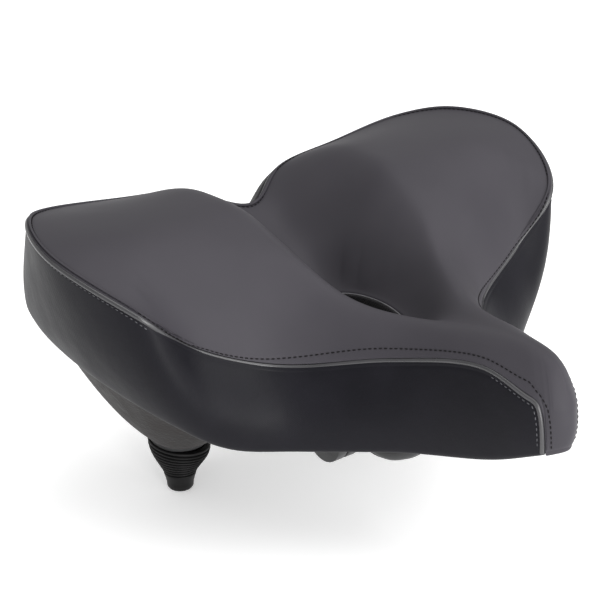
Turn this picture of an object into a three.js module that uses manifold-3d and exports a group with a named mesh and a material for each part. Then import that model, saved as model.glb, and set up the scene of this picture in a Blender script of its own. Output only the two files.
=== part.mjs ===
// Sprung comfort bicycle saddle: padded two-wing seat on a moulded pan, carried by
// two bent rails, a nose bush and two conical springs, and clamped to a seat post.
//
// Millimetres, +Z up, +X towards the nose, +Y to the rider's left.
// The origin is on the seat-post axis, at the lower rim of the post socket.

import * as THREE from 'three';
import { mergeVertices } from 'three/addons/utils/BufferGeometryUtils.js';
import Module from 'manifold-3d';

const wasm = await Module();
wasm.setup();

// ---------------------------------------------------------------- driving dimensions

const SEAT_LENGTH = 262;          // rear edge of the wings to the nose tip
const SEAT_WIDTH = 286;           // across the shoulder seams of the wings
const NOSE_WIDTH = 35;            // bottom edge, across the nose bush
const CLEAR = 0.3;                // between pieces that touch

const COVER_THICKNESS = 3;        // vinyl with its bonded foam backing
const PANEL_THICKNESS = 2.6;
const PAN_THICKNESS = 4;
const PAD_GAP = 0.8;              // glue line between pad and skins
const LINER_THICKNESS = 1.4;
const LINER_GLUE = 0.4;           // glue line round the relief opening

const RELIEF_LENGTH = 62;
const RELIEF_WIDTH = 25;
const RELIEF_CENTRE_X = -25;
const BOWL_DEPTH = 6;             // the top dips towards the relief opening
const BOWL_REACH = 26;

const RAIL_DIAMETER = 7;
const RAIL_SPACING = 44;          // between the rail centre lines at the clamp
const RAIL_HEIGHT = 12.2;         // rail centre line above the socket rim

const SPRING_X = -94;
const SPRING_SPACING = 124;
const SPRING_SEAT_TOP = -11.6;    // underside of the pan at the springs
const SPRING_SEAT_THICKNESS = 3.8;
const SPRING_WIRE = 2.6;
const SPRING_TURNS = 4.5;
const SPRING_TOP_RADIUS = 11;
const SPRING_FOOT_RADIUS = 4.2;
const BOOT_HEIGHT = 27.5;
const BOOT_TOP_RADIUS = 15.8;
const BOOT_CUFF_RADIUS = 6.8;
const BOOT_CUFF_HEIGHT = 9;
const BOOT_WALL = 1.1;
const BOOT_RINGS = 9;
const BOOT_FOLD = 0.9;            // depth of the folds

const POST_DIAMETER = 22.2;       // the common 7/8 inch plain seat post
const SOCKET_CLEARANCE = 0.15;    // radial
const BAND_WALL = 3;
const BAND_HEIGHT = 24;
const EAR_GAP = 6;                // slit between the two pinch ears
const EAR_WALL = 3.2;
const BOLT_DIAMETER = 6;          // M6
const BOLT_SETBACK = 6.75;        // bolt axis behind the band's outer face
const BOLT_TO_RAIL = 0.5;         // between the bolt and the rails that cross over it
const CHEEK_RADIUS = 13;
const CHEEK_HUB_RADIUS = 6.5;
const CHEEK_THICKNESS = 5.6;
const WASHER_THICKNESS = 1.6;
const WASHER_RADIUS = 6.2;
const NUT_ACROSS_FLATS = 10;
const NUT_HEIGHT = 5;

const PIVOT_ALONG = 0.7214;       // nose bush, share of the way from mid-length to the tip
const PIVOT_Z = 39.5;
const BUSH_RADIUS = 7.2;
const BUSH_WIDTH = 18;
const NOSE_RAIL_SPACING = 10;
const BRACKET_WALL = 2.4;
const BRACKET_WIDTH = 11;
const BRACKET_PLATE = 2.6;
const SCREW_REACH = 12.5;         // bracket screws fore and aft of the bush's axis
const SCREW_DIAMETER = 4;
const SCREW_HEAD_RADIUS = 3.8;
const SCREW_HEAD_HEIGHT = 2.2;

const TIP_AHEAD = 112.5;          // nose tip ahead of the seat post
const MID_X = TIP_AHEAD - SEAT_LENGTH / 2;
const PIVOT_X = MID_X + PIVOT_ALONG * SEAT_LENGTH / 2;
const BELOW_ALL = 40;             // reach of cutting tools that pass through the whole pan
const ABOVE_ALL = 90;
const SOCKET_RADIUS = POST_DIAMETER / 2 + SOCKET_CLEARANCE;
const BAND_RADIUS = SOCKET_RADIUS + BAND_WALL;
const BOLT_X = -BAND_RADIUS - BOLT_SETBACK;
const BOLT_Z = RAIL_HEIGHT - (RAIL_DIAMETER + BOLT_DIAMETER) / 2 - BOLT_TO_RAIL;

// ---------------------------------------------------------------- small helpers

const lerp = (a, b, t) => a + (b - a) * t;
const clamp01 = (t) => Math.min(1, Math.max(0, t));
const ease = (t) => clamp01(t) ** 2 * (3 - 2 * clamp01(t));
const ramp = (x, from, to) => ease((x - from) / (to - from));

// Smooth curve y(x) through a few [x, y] stations, flat beyond the ends.
function stationCurve(stations, x) {
  const last = stations.length - 1;
  if (x <= stations[0][0]) return stations[0][1];
  if (x >= stations[last][0]) return stations[last][1];
  const i = stations.findIndex((s, n) => n < last && x < stations[n + 1][0]);
  const slope = (n) => {
    const a = stations[Math.max(0, n - 1)];
    const b = stations[Math.min(last, n + 1)];
    return (b[1] - a[1]) / (b[0] - a[0]);
  };
  const [x0, y0] = stations[i];
  const [x1, y1] = stations[i + 1];
  const w = x1 - x0;
  const t = (x - x0) / w;
  return (2 * t ** 3 - 3 * t ** 2 + 1) * y0 + (t ** 3 - 2 * t ** 2 + t) * w * slope(i)
    + (3 * t ** 2 - 2 * t ** 3) * y1 + (t ** 3 - t ** 2) * w * slope(i + 1);
}

// ---------------------------------------------------------------- saddle outline
// Right half, from the notch at the rear round the wing and the waist to the nose tip.
// Stations along the saddle are in [-1, 1] from the rear edge to the tip; sideways they
// are shares of half the width on the wings, and shares of half the nose width ahead of
// the waist. Heights are in millimetres above the rail plane.
//   shoulder: along, across, height, width of the rolled shoulder, side bulge
//   hem:      along, across, height
const NOSE_SHARE_FROM = 9;
const SHOULDER = [
  [-0.75, 0, 75.5, 22, 6], [-0.86, 0.2, 85, 34, 5], [-0.867, 0.46, 90.1, 42, 3],
  [-0.863, 0.774, 95.4, 42, 2.5], [-0.7, 0.922, 101.1, 42, 3], [-0.405, 0.997, 98.8, 44, 4],
  [-0.07, 0.878, 82.8, 42, 5], [-0.026, 0.678, 59.9, 36, 5], [0.076, 0.438, 47.2, 32, 5],
  [0.369, 1.777, 55.8, 25, 4], [0.698, 0.943, 65.2, 15, 3], [0.897, 0.674, 58.8, 12, 2],
  [0.974, 0.36, 55, 12, 1.5], [1, 0, 54.5, 12, 1.5],
];
const HEM = [
  [-0.851, 0, 33.5], [-0.962, 0.197, 37], [-0.992, 0.45, 40.2], [-1.009, 0.764, 41.8],
  [-0.796, 0.855, 40.7], [-0.44, 0.865, 34.3], [-0.064, 0.769, 22.8], [0.057, 0.634, 11.1],
  [0.183, 0.438, 7.4], [0.458, 1.869, 12.4], [0.764, 1, 21.4], [0.897, 0.657, 28.5],
  [0.954, 0.4, 31.5], [0.989, 0, 33.3],
];
const STATIONS = SHOULDER.length - 1;      // last index, the nose tip
const COLUMNS_PER_STATION = 2;
const COLUMNS = 2 * STATIONS * COLUMNS_PER_STATION;

function outlinePoint([along, across, height], index) {
  const half = (index < NOSE_SHARE_FROM ? SEAT_WIDTH : NOSE_WIDTH) / 2;
  return new THREE.Vector3(MID_X + along * SEAT_LENGTH / 2, -across * half, RAIL_HEIGHT + height);
}

function mirroredLoop(rows) {
  const right = rows.map(outlinePoint);
  const left = right.slice(1, -1).reverse().map((p) => new THREE.Vector3(p.x, -p.y, p.z));
  return new THREE.CatmullRomCurve3([...right, ...left], true, 'centripetal');
}

const shoulderCurve = mirroredLoop(SHOULDER);
const hemCurve = mirroredLoop(HEM);

// q runs 0 at the notch, STATIONS at the nose tip and on to 2 * STATIONS at the notch.
const onCurve = (curve, q) => curve.getPoint((q / (2 * STATIONS)) % 1);
const halfStation = (q) => (q > STATIONS ? 2 * STATIONS - q : q);
const rowValue = (column, q) => {
  const k = halfStation(q);
  const i = Math.min(Math.floor(k), STATIONS - 1);
  return lerp(SHOULDER[i][column], SHOULDER[i + 1][column], k - i);
};

function outward(q) {
  const a = onCurve(shoulderCurve, q - 0.1 + 2 * STATIONS).add(onCurve(hemCurve, q - 0.1 + 2 * STATIONS));
  const b = onCurve(shoulderCurve, q + 0.1).add(onCurve(hemCurve, q + 0.1));
  const along = b.sub(a);
  return new THREE.Vector3(along.y, -along.x, 0).normalize();
}

// ---------------------------------------------------------------- relief opening and spine
// Inner ends of the columns: round the relief opening up to station NOSE_SPINE_FROM, then
// along the centre line of the nose, where the left and right columns meet.
const NOSE_SPINE_FROM = 9;
const RELIEF_ANGLES = [180, 168, 155, 141, 126, 108, 90, 68, 38, 0];
const SPINE_SHARES = [0, 0.45, 0.8, 0.92, 0.96];

function innerEnd(q) {
  const k = halfStation(q);
  const side = q > STATIONS ? 1 : -1;
  if (k <= NOSE_SPINE_FROM) {
    const i = Math.min(Math.floor(k), NOSE_SPINE_FROM - 1);
    const angle = THREE.MathUtils.degToRad(lerp(RELIEF_ANGLES[i], RELIEF_ANGLES[i + 1], k - i));
    const y = k === 0 || k === NOSE_SPINE_FROM ? 0 : side * Math.sin(angle) * RELIEF_WIDTH / 2;
    return new THREE.Vector2(RELIEF_CENTRE_X + Math.cos(angle) * RELIEF_LENGTH / 2, y);
  }
  const n = k - NOSE_SPINE_FROM;
  const i = Math.min(Math.floor(n), SPINE_SHARES.length - 2);
  const share = lerp(SPINE_SHARES[i], SPINE_SHARES[i + 1], n - i);
  const front = RELIEF_CENTRE_X + RELIEF_LENGTH / 2;
  const tip = onCurve(shoulderCurve, STATIONS).x;
  return new THREE.Vector2(lerp(front, tip - 12, share), 0);
}

const onRelief = (q) => halfStation(q) <= NOSE_SPINE_FROM;

// ---------------------------------------------------------------- top of the seat
// Heights above the rail plane: along the centre line, and along the crest of each wing.
const CENTRE_LINE = [
  [-0.9, 80], [-0.75, 75], [-0.55, 66], [-0.3, 55], [-0.08, 51], [0.18, 56], [0.34, 65],
  [0.5, 70.5], [0.64, 74], [0.8, 75.5], [0.92, 73], [1, 68],
];
const CREST = [
  [-1, 97], [-0.75, 99.5], [-0.5, 102.5], [-0.35, 102], [-0.2, 95], [-0.05, 86], [0.1, 78],
  [0.3, 73], [0.5, 73.5], [0.64, 75],
];
const CREST_OFFSET = [[-0.9, 52], [-0.3, 48], [-0.05, 42], [0.1, 36], [0.3, 24], [0.6, 14]];
const OUTLINE_SAMPLES = Array.from({ length: 8 * STATIONS + 1 }, (_, i) => {
  const q = (2 * STATIONS * i) / (8 * STATIONS);
  return { point: onCurve(shoulderCurve, q), roll: rowValue(3, q) };
});

// Nearest point of the shoulder line to (x, y), with its height and roll width.
function nearestShoulder(x, y) {
  let best = { distance: Infinity };
  for (let i = 0; i < OUTLINE_SAMPLES.length - 1; i += 1) {
    const { point: a, roll: rollA } = OUTLINE_SAMPLES[i];
    const { point: b, roll: rollB } = OUTLINE_SAMPLES[i + 1];
    const length2 = (b.x - a.x) ** 2 + (b.y - a.y) ** 2;
    const t = clamp01(((x - a.x) * (b.x - a.x) + (y - a.y) * (b.y - a.y)) / length2);
    const distance = Math.hypot(x - lerp(a.x, b.x, t), y - lerp(a.y, b.y, t));
    if (distance < best.distance) {
      best = { distance, height: lerp(a.z, b.z, t), roll: lerp(rollA, rollB, t) };
    }
  }
  return best;
}

// Distance from (x, y) to the edge of the relief opening, along the ray from its centre.
function reliefDistance(x, y) {
  const fromCentre = Math.hypot(x - RELIEF_CENTRE_X, y);
  const share = Math.hypot((x - RELIEF_CENTRE_X) / (RELIEF_LENGTH / 2), y / (RELIEF_WIDTH / 2));
  return share > 1 ? fromCentre * (share - 1) / share : 0;
}

function topHeight(x, y) {
  const along = (x - MID_X) / (SEAT_LENGTH / 2);
  const centre = stationCurve(CENTRE_LINE, along);
  const crest = stationCurve(CREST, along);
  const offset = stationCurve(CREST_OFFSET, along);
  const bowl = BOWL_DEPTH * (1 - ease(reliefDistance(x, y) / BOWL_REACH));
  const free = RAIL_HEIGHT + lerp(centre, crest, ease(Math.abs(y) / offset)) - bowl;
  const edge = nearestShoulder(x, y);
  const fall = (1 - clamp01(edge.distance / edge.roll)) ** 2.2;
  return lerp(free, edge.height, fall);
}

// ---------------------------------------------------------------- skin surface
// v = 0 at the hem, 1 at the shoulder, 2 at the inner end of the column. The side bulges
// most at mid-height or, in the notch, close under the shoulder.
const SIDE_LEAN = 0.8;
const NOTCH_LEAN = 2.5;

function skin(q, v) {
  const shoulder = onCurve(shoulderCurve, q);
  if (v <= 1) {
    const hem = onCurve(hemCurve, q);
    const lean = lerp(NOTCH_LEAN, SIDE_LEAN, ramp(halfStation(q), 1, 2.2));
    const bulge = rowValue(4, q) * Math.sin(Math.PI * v ** lean);
    return hem.lerp(shoulder, v).addScaledVector(outward(q), bulge);
  }
  const inner = innerEnd(q);
  const x = lerp(shoulder.x, inner.x, v - 1);
  const y = lerp(shoulder.y, inner.y, v - 1);
  return new THREE.Vector3(x, y, topHeight(x, y));
}

// Point `depth` below the skin: inwards on the sides, downwards on top.
function underSkin(q, v, depth) {
  const top = ramp(v, 0.85, 1.15);
  const inwards = outward(q).multiplyScalar(-(1 - top));
  const down = new THREE.Vector3(0, 0, -top);
  return skin(q, v).addScaledVector(inwards.add(down).normalize(), depth);
}

// The seam follows the shoulder, then drops down the corner of the nose to the hem.
const SEAM_DROP_FROM = 11.1;
const SEAM_DROP_TO = 12;
const seamLevel = (q) => 1 - ramp(halfStation(q), SEAM_DROP_FROM, SEAM_DROP_TO);

// ---------------------------------------------------------------- moulded pan
const PAN_ROOF = [[-1, 28], [-0.5, 28], [-0.2, 30], [0.3, 30], [0.5, 38], [1, 39]];
const PAN_INSET = PANEL_THICKNESS + PAD_GAP + 2.4;
const PAN_WALL_WIDTHS = [16, 30, 44, 47, 47, 47, 40, 34, 26, 11, 4, 3, 3, 3];
const KEEL_HALF_WIDTH = 31;       // half the width of the open channel between the keels

function panFloor(x, y) {
  const along = (x - MID_X) / (SEAT_LENGTH / 2);
  const roof = RAIL_HEIGHT + stationCurve(PAN_ROOF, along);
  const sideways = ramp(Math.abs(y), KEEL_HALF_WIDTH, SPRING_SPACING / 2 - 13);
  const lengthways = 1 - ramp(x, SPRING_X + 12, SPRING_X + 88);
  return lerp(roof, SPRING_SEAT_TOP, sideways * lengthways);
}

// Underside of the pan: s = 0 at the rim inside the hem, 1 at the inner end.
function panUnder(q, s) {
  const rim = onCurve(hemCurve, q).addScaledVector(outward(q), -PAN_INSET);
  const inner = innerEnd(q);
  const x = lerp(rim.x, inner.x, s);
  const y = lerp(rim.y, inner.y, s);
  const k = halfStation(q);
  const i = Math.min(Math.floor(k), STATIONS - 1);
  const wall = lerp(PAN_WALL_WIDTHS[i], PAN_WALL_WIDTHS[i + 1], k - i);
  const distance = Math.hypot(x - rim.x, y - rim.y);
  return new THREE.Vector3(x, y, lerp(rim.z, panFloor(x, y), ease(distance / wall)));
}

const raised = (point, height) => point.setZ(point.z + height);

// ---------------------------------------------------------------- solids from point grids

function geometryFrom(points, triangles) {
  const geometry = new THREE.BufferGeometry();
  const coordinates = points.flatMap((p) => p.toArray());
  geometry.setAttribute('position', new THREE.Float32BufferAttribute(coordinates, 3));
  geometry.setIndex(triangles);
  return geometry;
}

// Closed body between two grids of points, front[column][row] facing out. `ring` joins
// the last column to the first; `openInner` leaves out the wall between the last rows
// where the columns of the two sides meet on the centre line.
function shell(front, back, { ring = false, openInner = () => false } = {}) {
  const columns = front.length;
  const rows = front[0].length;
  const points = [...front.flat(), ...back.flat()];
  const at = (layer, c, r) => layer * columns * rows + (c % columns) * rows + r;
  const triangles = [];
  const quad = (a, b, c, d) => triangles.push(a, b, c, a, c, d);
  const spans = ring ? columns : columns - 1;
  for (let c = 0; c < spans; c += 1) {
    for (let r = 0; r < rows - 1; r += 1) {
      quad(at(0, c, r), at(0, c + 1, r), at(0, c + 1, r + 1), at(0, c, r + 1));
      quad(at(1, c, r), at(1, c, r + 1), at(1, c + 1, r + 1), at(1, c + 1, r));
    }
    quad(at(0, c, 0), at(1, c, 0), at(1, c + 1, 0), at(0, c + 1, 0));
    if (!openInner(c)) {
      const r = rows - 1;
      quad(at(0, c, r), at(0, c + 1, r), at(1, c + 1, r), at(1, c, r));
    }
  }
  for (let r = 0; r < rows - 1 && !ring; r += 1) {
    const c = columns - 1;
    quad(at(0, 0, r), at(0, 0, r + 1), at(1, 0, r + 1), at(1, 0, r));
    quad(at(0, c, r), at(1, c, r), at(1, c, r + 1), at(0, c, r + 1));
  }
  return mergeVertices(geometryFrom(points, triangles), 1e-4);
}

const columnStations = Array.from({ length: COLUMNS }, (_, c) => c / COLUMNS_PER_STATION);
const meetsOnSpine = (c) => !(onRelief(columnStations[c]) && onRelief(columnStations[(c + 1) % COLUMNS]));

// ---------------------------------------------------------------- booleans

function solid(geometry) {
  const bare = geometry.clone();
  bare.deleteAttribute('normal');
  bare.deleteAttribute('uv');
  const merged = mergeVertices(bare, 1e-4);
  return new wasm.Manifold(new wasm.Mesh({
    numProp: 3,
    vertProperties: new Float32Array(merged.attributes.position.array),
    triVerts: new Uint32Array(merged.index.array),
  }));
}

function unsolid(body) {
  const mesh = body.getMesh();
  const geometry = new THREE.BufferGeometry();
  geometry.setAttribute('position', new THREE.Float32BufferAttribute(mesh.vertProperties, 3));
  geometry.setIndex(new THREE.Uint32BufferAttribute(mesh.triVerts, 1));
  return geometry;
}

const cut = (geometry, ...tools) => (
  unsolid(tools.reduce((body, tool) => body.subtract(solid(tool)), solid(geometry)))
);
const join = (geometry, ...others) => (
  unsolid(others.reduce((body, other) => body.add(solid(other)), solid(geometry)))
);

// ---------------------------------------------------------------- turned parts

// Turned body about +Z from [radius, z] points, lowest first, starting and ending on the axis
// or, with `closed`, joining its last point to its first.
function turned(profile, segments, closed = false) {
  const points = profile.map(([r, z]) => new THREE.Vector2(r, z));
  if (closed) points.push(points[0].clone());
  return new THREE.LatheGeometry(points, segments).rotateX(Math.PI / 2);
}

const rod = (radius, from, to, segments = 16) => (
  turned([[0, from], [radius, from], [radius, to], [0, to]], segments)
);
const alongY = (geometry) => geometry.rotateX(-Math.PI / 2);
const alongX = (geometry) => geometry.rotateY(Math.PI / 2);
const hexRadius = (acrossFlats) => acrossFlats / Math.sqrt(3);

function extruded(shape, depth, curveSegments = 16) {
  return new THREE.ExtrudeGeometry(shape, { depth, bevelEnabled: false, curveSegments });
}

function rodSection(radius, sides) {
  const shape = new THREE.Shape();
  const angles = Array.from({ length: sides }, (_, i) => (2 * Math.PI * i) / sides);
  shape.setFromPoints(angles.map((a) => new THREE.Vector2(radius * Math.cos(a), radius * Math.sin(a))));
  return shape;
}

const sweptRod = (curve, radius, sides, steps) =>
  new THREE.ExtrudeGeometry(rodSection(radius, sides), { steps, bevelEnabled: false, extrudePath: curve });

// ---------------------------------------------------------------- materials

const finish = (color, roughness, metalness = 0) => (
  new THREE.MeshStandardMaterial({ color, roughness, metalness })
);
const coverVinyl = () => finish(0x59575b, 0.62);
const panelVinyl = () => finish(0x262428, 0.38);
const foam = () => finish(0x8f8a80, 0.95);
const mouldedPlastic = () => finish(0x2a2626, 0.6);
const rubber = () => finish(0x131214, 0.7);
const liningCloth = () => finish(0x1c191d, 0.9);
const blackSteel = () => finish(0x1b1b1d, 0.4, 0.8);
const zincSteel = () => finish(0x9a9ca0, 0.35, 0.9);

const saddle = new THREE.Group();

function place(name, geometry, material) {
  const mesh = new THREE.Mesh(geometry, material);
  mesh.name = name;
  saddle.add(mesh);
  return mesh;
}

// ---------------------------------------------------------------- upholstery

const TOP_ROWS = [0, 0.07, 0.16, 0.28, 0.44, 0.62, 0.8, 1];

function topCover() {
  const rows = (q, depth) => TOP_ROWS.map((f) => {
    const v = lerp(seamLevel(q), 2, f);
    return depth === 0 ? skin(q, v) : underSkin(q, v, depth);
  });
  const outer = columnStations.map((q) => rows(q, 0));
  const inner = columnStations.map((q) => rows(q, COVER_THICKNESS));
  return shell(outer, inner, { ring: true, openInner: meetsOnSpine });
}

const PANEL_ROWS = [0, 0.3, 0.62, 1];
const PANEL_END = 11.7;           // station where the panel runs out in the nose seam
const PANEL_TOP_GAP = 0.08;       // share of the side height kept free under the cover

function sidePanel(side) {
  const columns = PANEL_END * COLUMNS_PER_STATION;
  const stations = Array.from({ length: Math.ceil(columns) + 1 }, (_, c) => {
    const k = Math.min(Math.max(c / COLUMNS_PER_STATION, 0.03), PANEL_END);
    return side > 0 ? 2 * STATIONS - k : k;
  });
  if (side > 0) stations.reverse();
  const rows = (q, depth) => PANEL_ROWS.map((f) => {
    const v = f * (seamLevel(q) - PANEL_TOP_GAP);
    return skin(q, v).addScaledVector(outward(q), -depth);
  });
  return shell(stations.map((q) => rows(q, 0)), stations.map((q) => rows(q, PANEL_THICKNESS)));
}

// As many rows under the pad as over it, and the same rows on the pan that it sits on.
const PAN_ROWS = [0, 0.05, 0.11, 0.19, 0.3, 0.43, 0.58, 0.77, 1];
const PAD_ROWS = [0.16, 0.5, 0.8, 1.07, 1.28, 1.44, 1.62, 1.8, 2];

// Depth of the pad under the skin: deepest round the rolled shoulder, and at the waist and
// in the nose, where the skins turn the sharpest corners.
const noseShare = (q) => ramp(halfStation(q), 9.5, 11);
const waistShare = (q) => ramp(halfStation(q), 4.5, 6) * (1 - ramp(halfStation(q), 8, 9));
const padDepth = (q, v) => COVER_THICKNESS + PAD_GAP + 1 + 5 * (1 - ramp(v, 1.1, 1.7))
  + 2 * noseShare(q) + 1.5 * waistShare(q);
const padInset = (q) => PANEL_THICKNESS + PAD_GAP + 2 + 3 * noseShare(q) + 2.5 * waistShare(q);

function foamPad() {
  const outer = columnStations.map((q) => PAD_ROWS.map((v) => (
    v < 1 ? skin(q, v).addScaledVector(outward(q), -padInset(q)) : underSkin(q, v, padDepth(q, v))
  )));
  const under = columnStations.map((q) => PAN_ROWS.map((s) => (
    raised(panUnder(q, s), PAN_THICKNESS + PAD_GAP)
  )));
  return shell(outer, under, { ring: true, openInner: meetsOnSpine });
}

function pan() {
  const top = columnStations.map((q) => PAN_ROWS.map((s) => raised(panUnder(q, s), PAN_THICKNESS)));
  const bottom = columnStations.map((q) => PAN_ROWS.map((s) => panUnder(q, s)));
  return shell(top, bottom, { ring: true, openInner: meetsOnSpine });
}

// Pilot holes for the spring screws and the nose bracket screws.
function panScrewHoles() {
  const places = [
    [SPRING_X, SPRING_SPACING / 2], [SPRING_X, -SPRING_SPACING / 2],
    [PIVOT_X - SCREW_REACH, 0], [PIVOT_X + SCREW_REACH, 0],
  ];
  return places.map(([x, y]) => (
    rod(SCREW_DIAMETER / 2 + CLEAR, -BELOW_ALL, ABOVE_ALL, 12).translate(x, y, 0)
  ));
}

function reliefLiner() {
  const stations = columnStations.filter(onRelief);
  const section = (q) => {
    const end = innerEnd(q);
    const centre = new THREE.Vector2(RELIEF_CENTRE_X, 0);
    const reach = end.clone().sub(centre).length();
    const outer = reach - CLEAR - LINER_GLUE;
    const out = end.clone().sub(centre).multiplyScalar(outer / reach).add(centre);
    const inn = end.clone().sub(centre).multiplyScalar((outer - LINER_THICKNESS) / reach).add(centre);
    const high = topHeight(end.x, end.y) - 1;
    const low = panUnder(q, 1).z - 1;
    return { out, inn, high, low };
  };
  const outer = stations.map((q) => {
    const { out, high, low } = section(q);
    return [low, high].map((z) => new THREE.Vector3(out.x, out.y, z));
  });
  const inner = stations.map((q) => {
    const { inn, high, low } = section(q);
    return [low, high].map((z) => new THREE.Vector3(inn.x, inn.y, z));
  });
  return shell(outer, inner, { ring: true });
}

place('top_cover', topCover(), coverVinyl());
place('side_panel_right', sidePanel(-1), panelVinyl());
place('side_panel_left', sidePanel(1), panelVinyl());
place('foam_pad', foamPad(), foam());
place('seat_pan', cut(pan(), ...panScrewHoles()), mouldedPlastic());
place('relief_liner', reliefLiner(), liningCloth());

// ---------------------------------------------------------------- springs and boots

const SPRING_SEAT_RADIUS = BOOT_TOP_RADIUS - 1;
const SEAT_UNDERSIDE = SPRING_SEAT_TOP - CLEAR - SPRING_SEAT_THICKNESS;
const BOOT_TOP = SEAT_UNDERSIDE - CLEAR;
const BOOT_BOTTOM = BOOT_TOP - BOOT_HEIGHT;
const CUFF_TOP = BOOT_BOTTOM + BOOT_CUFF_HEIGHT;
const RAIL_END_Z = BOOT_BOTTOM + BOOT_WALL + CLEAR + RAIL_DIAMETER / 2;
const PLUG_BOTTOM = RAIL_END_Z + RAIL_DIAMETER / 2 + CLEAR;
const PLUG_HEIGHT = 3;
const SPRING_BOTTOM = PLUG_BOTTOM + PLUG_HEIGHT + CLEAR + SPRING_WIRE / 2;
const SPRING_TOP = SEAT_UNDERSIDE - CLEAR - SPRING_WIRE / 2;
const SPIGOT_RADIUS = SPRING_TOP_RADIUS - SPRING_WIRE / 2 - 3;
const SPIGOT_HEIGHT = 4;

// Outer radius of the boot at height t, 0 at the cuff's top edge and 1 at the lip.
const bootRadius = (t) => BOOT_CUFF_RADIUS + 0.6 * t
  + (BOOT_TOP_RADIUS - BOOT_CUFF_RADIUS - 0.6) * Math.sin(t * Math.PI / 2) ** 1.25;

function bootGeometry() {
  const steps = 2 * BOOT_RINGS;
  const outer = [[BOOT_CUFF_RADIUS - 1.6, BOOT_BOTTOM], [BOOT_CUFF_RADIUS, BOOT_BOTTOM + 1.6]];
  const inner = [];
  for (let i = 0; i <= steps; i += 1) {
    const z = lerp(CUFF_TOP, BOOT_TOP, i / steps);
    const radius = bootRadius(i / steps);
    outer.push([i % 2 === 0 ? radius : radius - BOOT_FOLD, z]);
    if (i % 4 === 1 || i === steps) inner.push([radius - BOOT_FOLD - BOOT_WALL, z]);
  }
  const floor = BOOT_BOTTOM + BOOT_WALL;
  const cavity = [[0, floor], [BOOT_CUFF_RADIUS - BOOT_WALL, floor], ...inner];
  return turned([[0, BOOT_BOTTOM], ...outer, ...cavity.reverse()], 16);
}

function springCurve() {
  const points = [];
  const perTurn = 12;
  const count = SPRING_TURNS * perTurn;
  for (let i = 0; i <= count; i += 1) {
    const t = i / count;
    const radius = lerp(SPRING_FOOT_RADIUS - SPRING_WIRE / 2, SPRING_TOP_RADIUS, t ** 0.8);
    const angle = (2 * Math.PI * i) / perTurn;
    const height = lerp(SPRING_BOTTOM, SPRING_TOP, t);
    points.push(new THREE.Vector3(radius * Math.cos(angle), radius * Math.sin(angle), height));
  }
  return new THREE.CatmullRomCurve3(points);
}

// The rail enters the cuff from behind and inboard.
const RAIL_ENTRY = new THREE.Vector3(-9, 7, 0).normalize();

function railEntryTool(side) {
  const tool = alongX(rod(RAIL_DIAMETER / 2 + CLEAR, 0, 3 * BOOT_CUFF_RADIUS, 12));
  tool.rotateZ(Math.atan2(-side * RAIL_ENTRY.y, RAIL_ENTRY.x));
  return tool.translate(0, 0, RAIL_END_Z);
}

function springSeat() {
  const flange = rod(SPRING_SEAT_RADIUS, SEAT_UNDERSIDE, SPRING_SEAT_TOP - CLEAR, 24);
  const spigot = rod(SPIGOT_RADIUS, SEAT_UNDERSIDE - SPIGOT_HEIGHT, SEAT_UNDERSIDE + 1, 20);
  const bore = rod(SCREW_DIAMETER / 2 + CLEAR, SEAT_UNDERSIDE - SPIGOT_HEIGHT - 1, SPRING_SEAT_TOP + 1, 12);
  const sink = rod(SCREW_HEAD_RADIUS + CLEAR, SEAT_UNDERSIDE - SPIGOT_HEIGHT - 1, SEAT_UNDERSIDE, 16);
  return cut(join(flange, spigot), bore, sink);
}

function screw(length) {
  const head = rod(SCREW_HEAD_RADIUS, -SCREW_HEAD_HEIGHT, 0, 16);
  const shank = rod(SCREW_DIAMETER / 2, -0.5, length, 12);
  return join(head, shank);
}

for (const side of [-1, 1]) {
  const hand = side < 0 ? 'right' : 'left';
  const y = side * SPRING_SPACING / 2;
  const boot = cut(bootGeometry(), railEntryTool(side));
  place(`spring_boot_${hand}`, boot, rubber()).position.set(SPRING_X, y, 0);
  const spring = sweptRod(springCurve(), SPRING_WIRE / 2, 6, SPRING_TURNS * 10);
  place(`coil_spring_${hand}`, spring, blackSteel()).position.set(SPRING_X, y, 0);
  const plug = rod(SPRING_FOOT_RADIUS, PLUG_BOTTOM, PLUG_BOTTOM + PLUG_HEIGHT, 16);
  place(`spring_plug_${hand}`, plug, mouldedPlastic()).position.set(SPRING_X, y, 0);
  place(`spring_seat_${hand}`, springSeat(), mouldedPlastic()).position.set(SPRING_X, y, 0);
  const grip = SPRING_SEAT_THICKNESS + CLEAR + PAN_THICKNESS - 1;
  place(`spring_screw_${hand}`, screw(grip), zincSteel()).position.set(SPRING_X, y, SEAT_UNDERSIDE - CLEAR);
}

// ---------------------------------------------------------------- rails

const railY = RAIL_SPACING / 2;
const noseRailY = NOSE_RAIL_SPACING / 2;
const RAIL_REACH = 3.2;           // how far the rail passes the spring's axis
const RISE_FROM = 20;             // where the rails start to rise and close in

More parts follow.
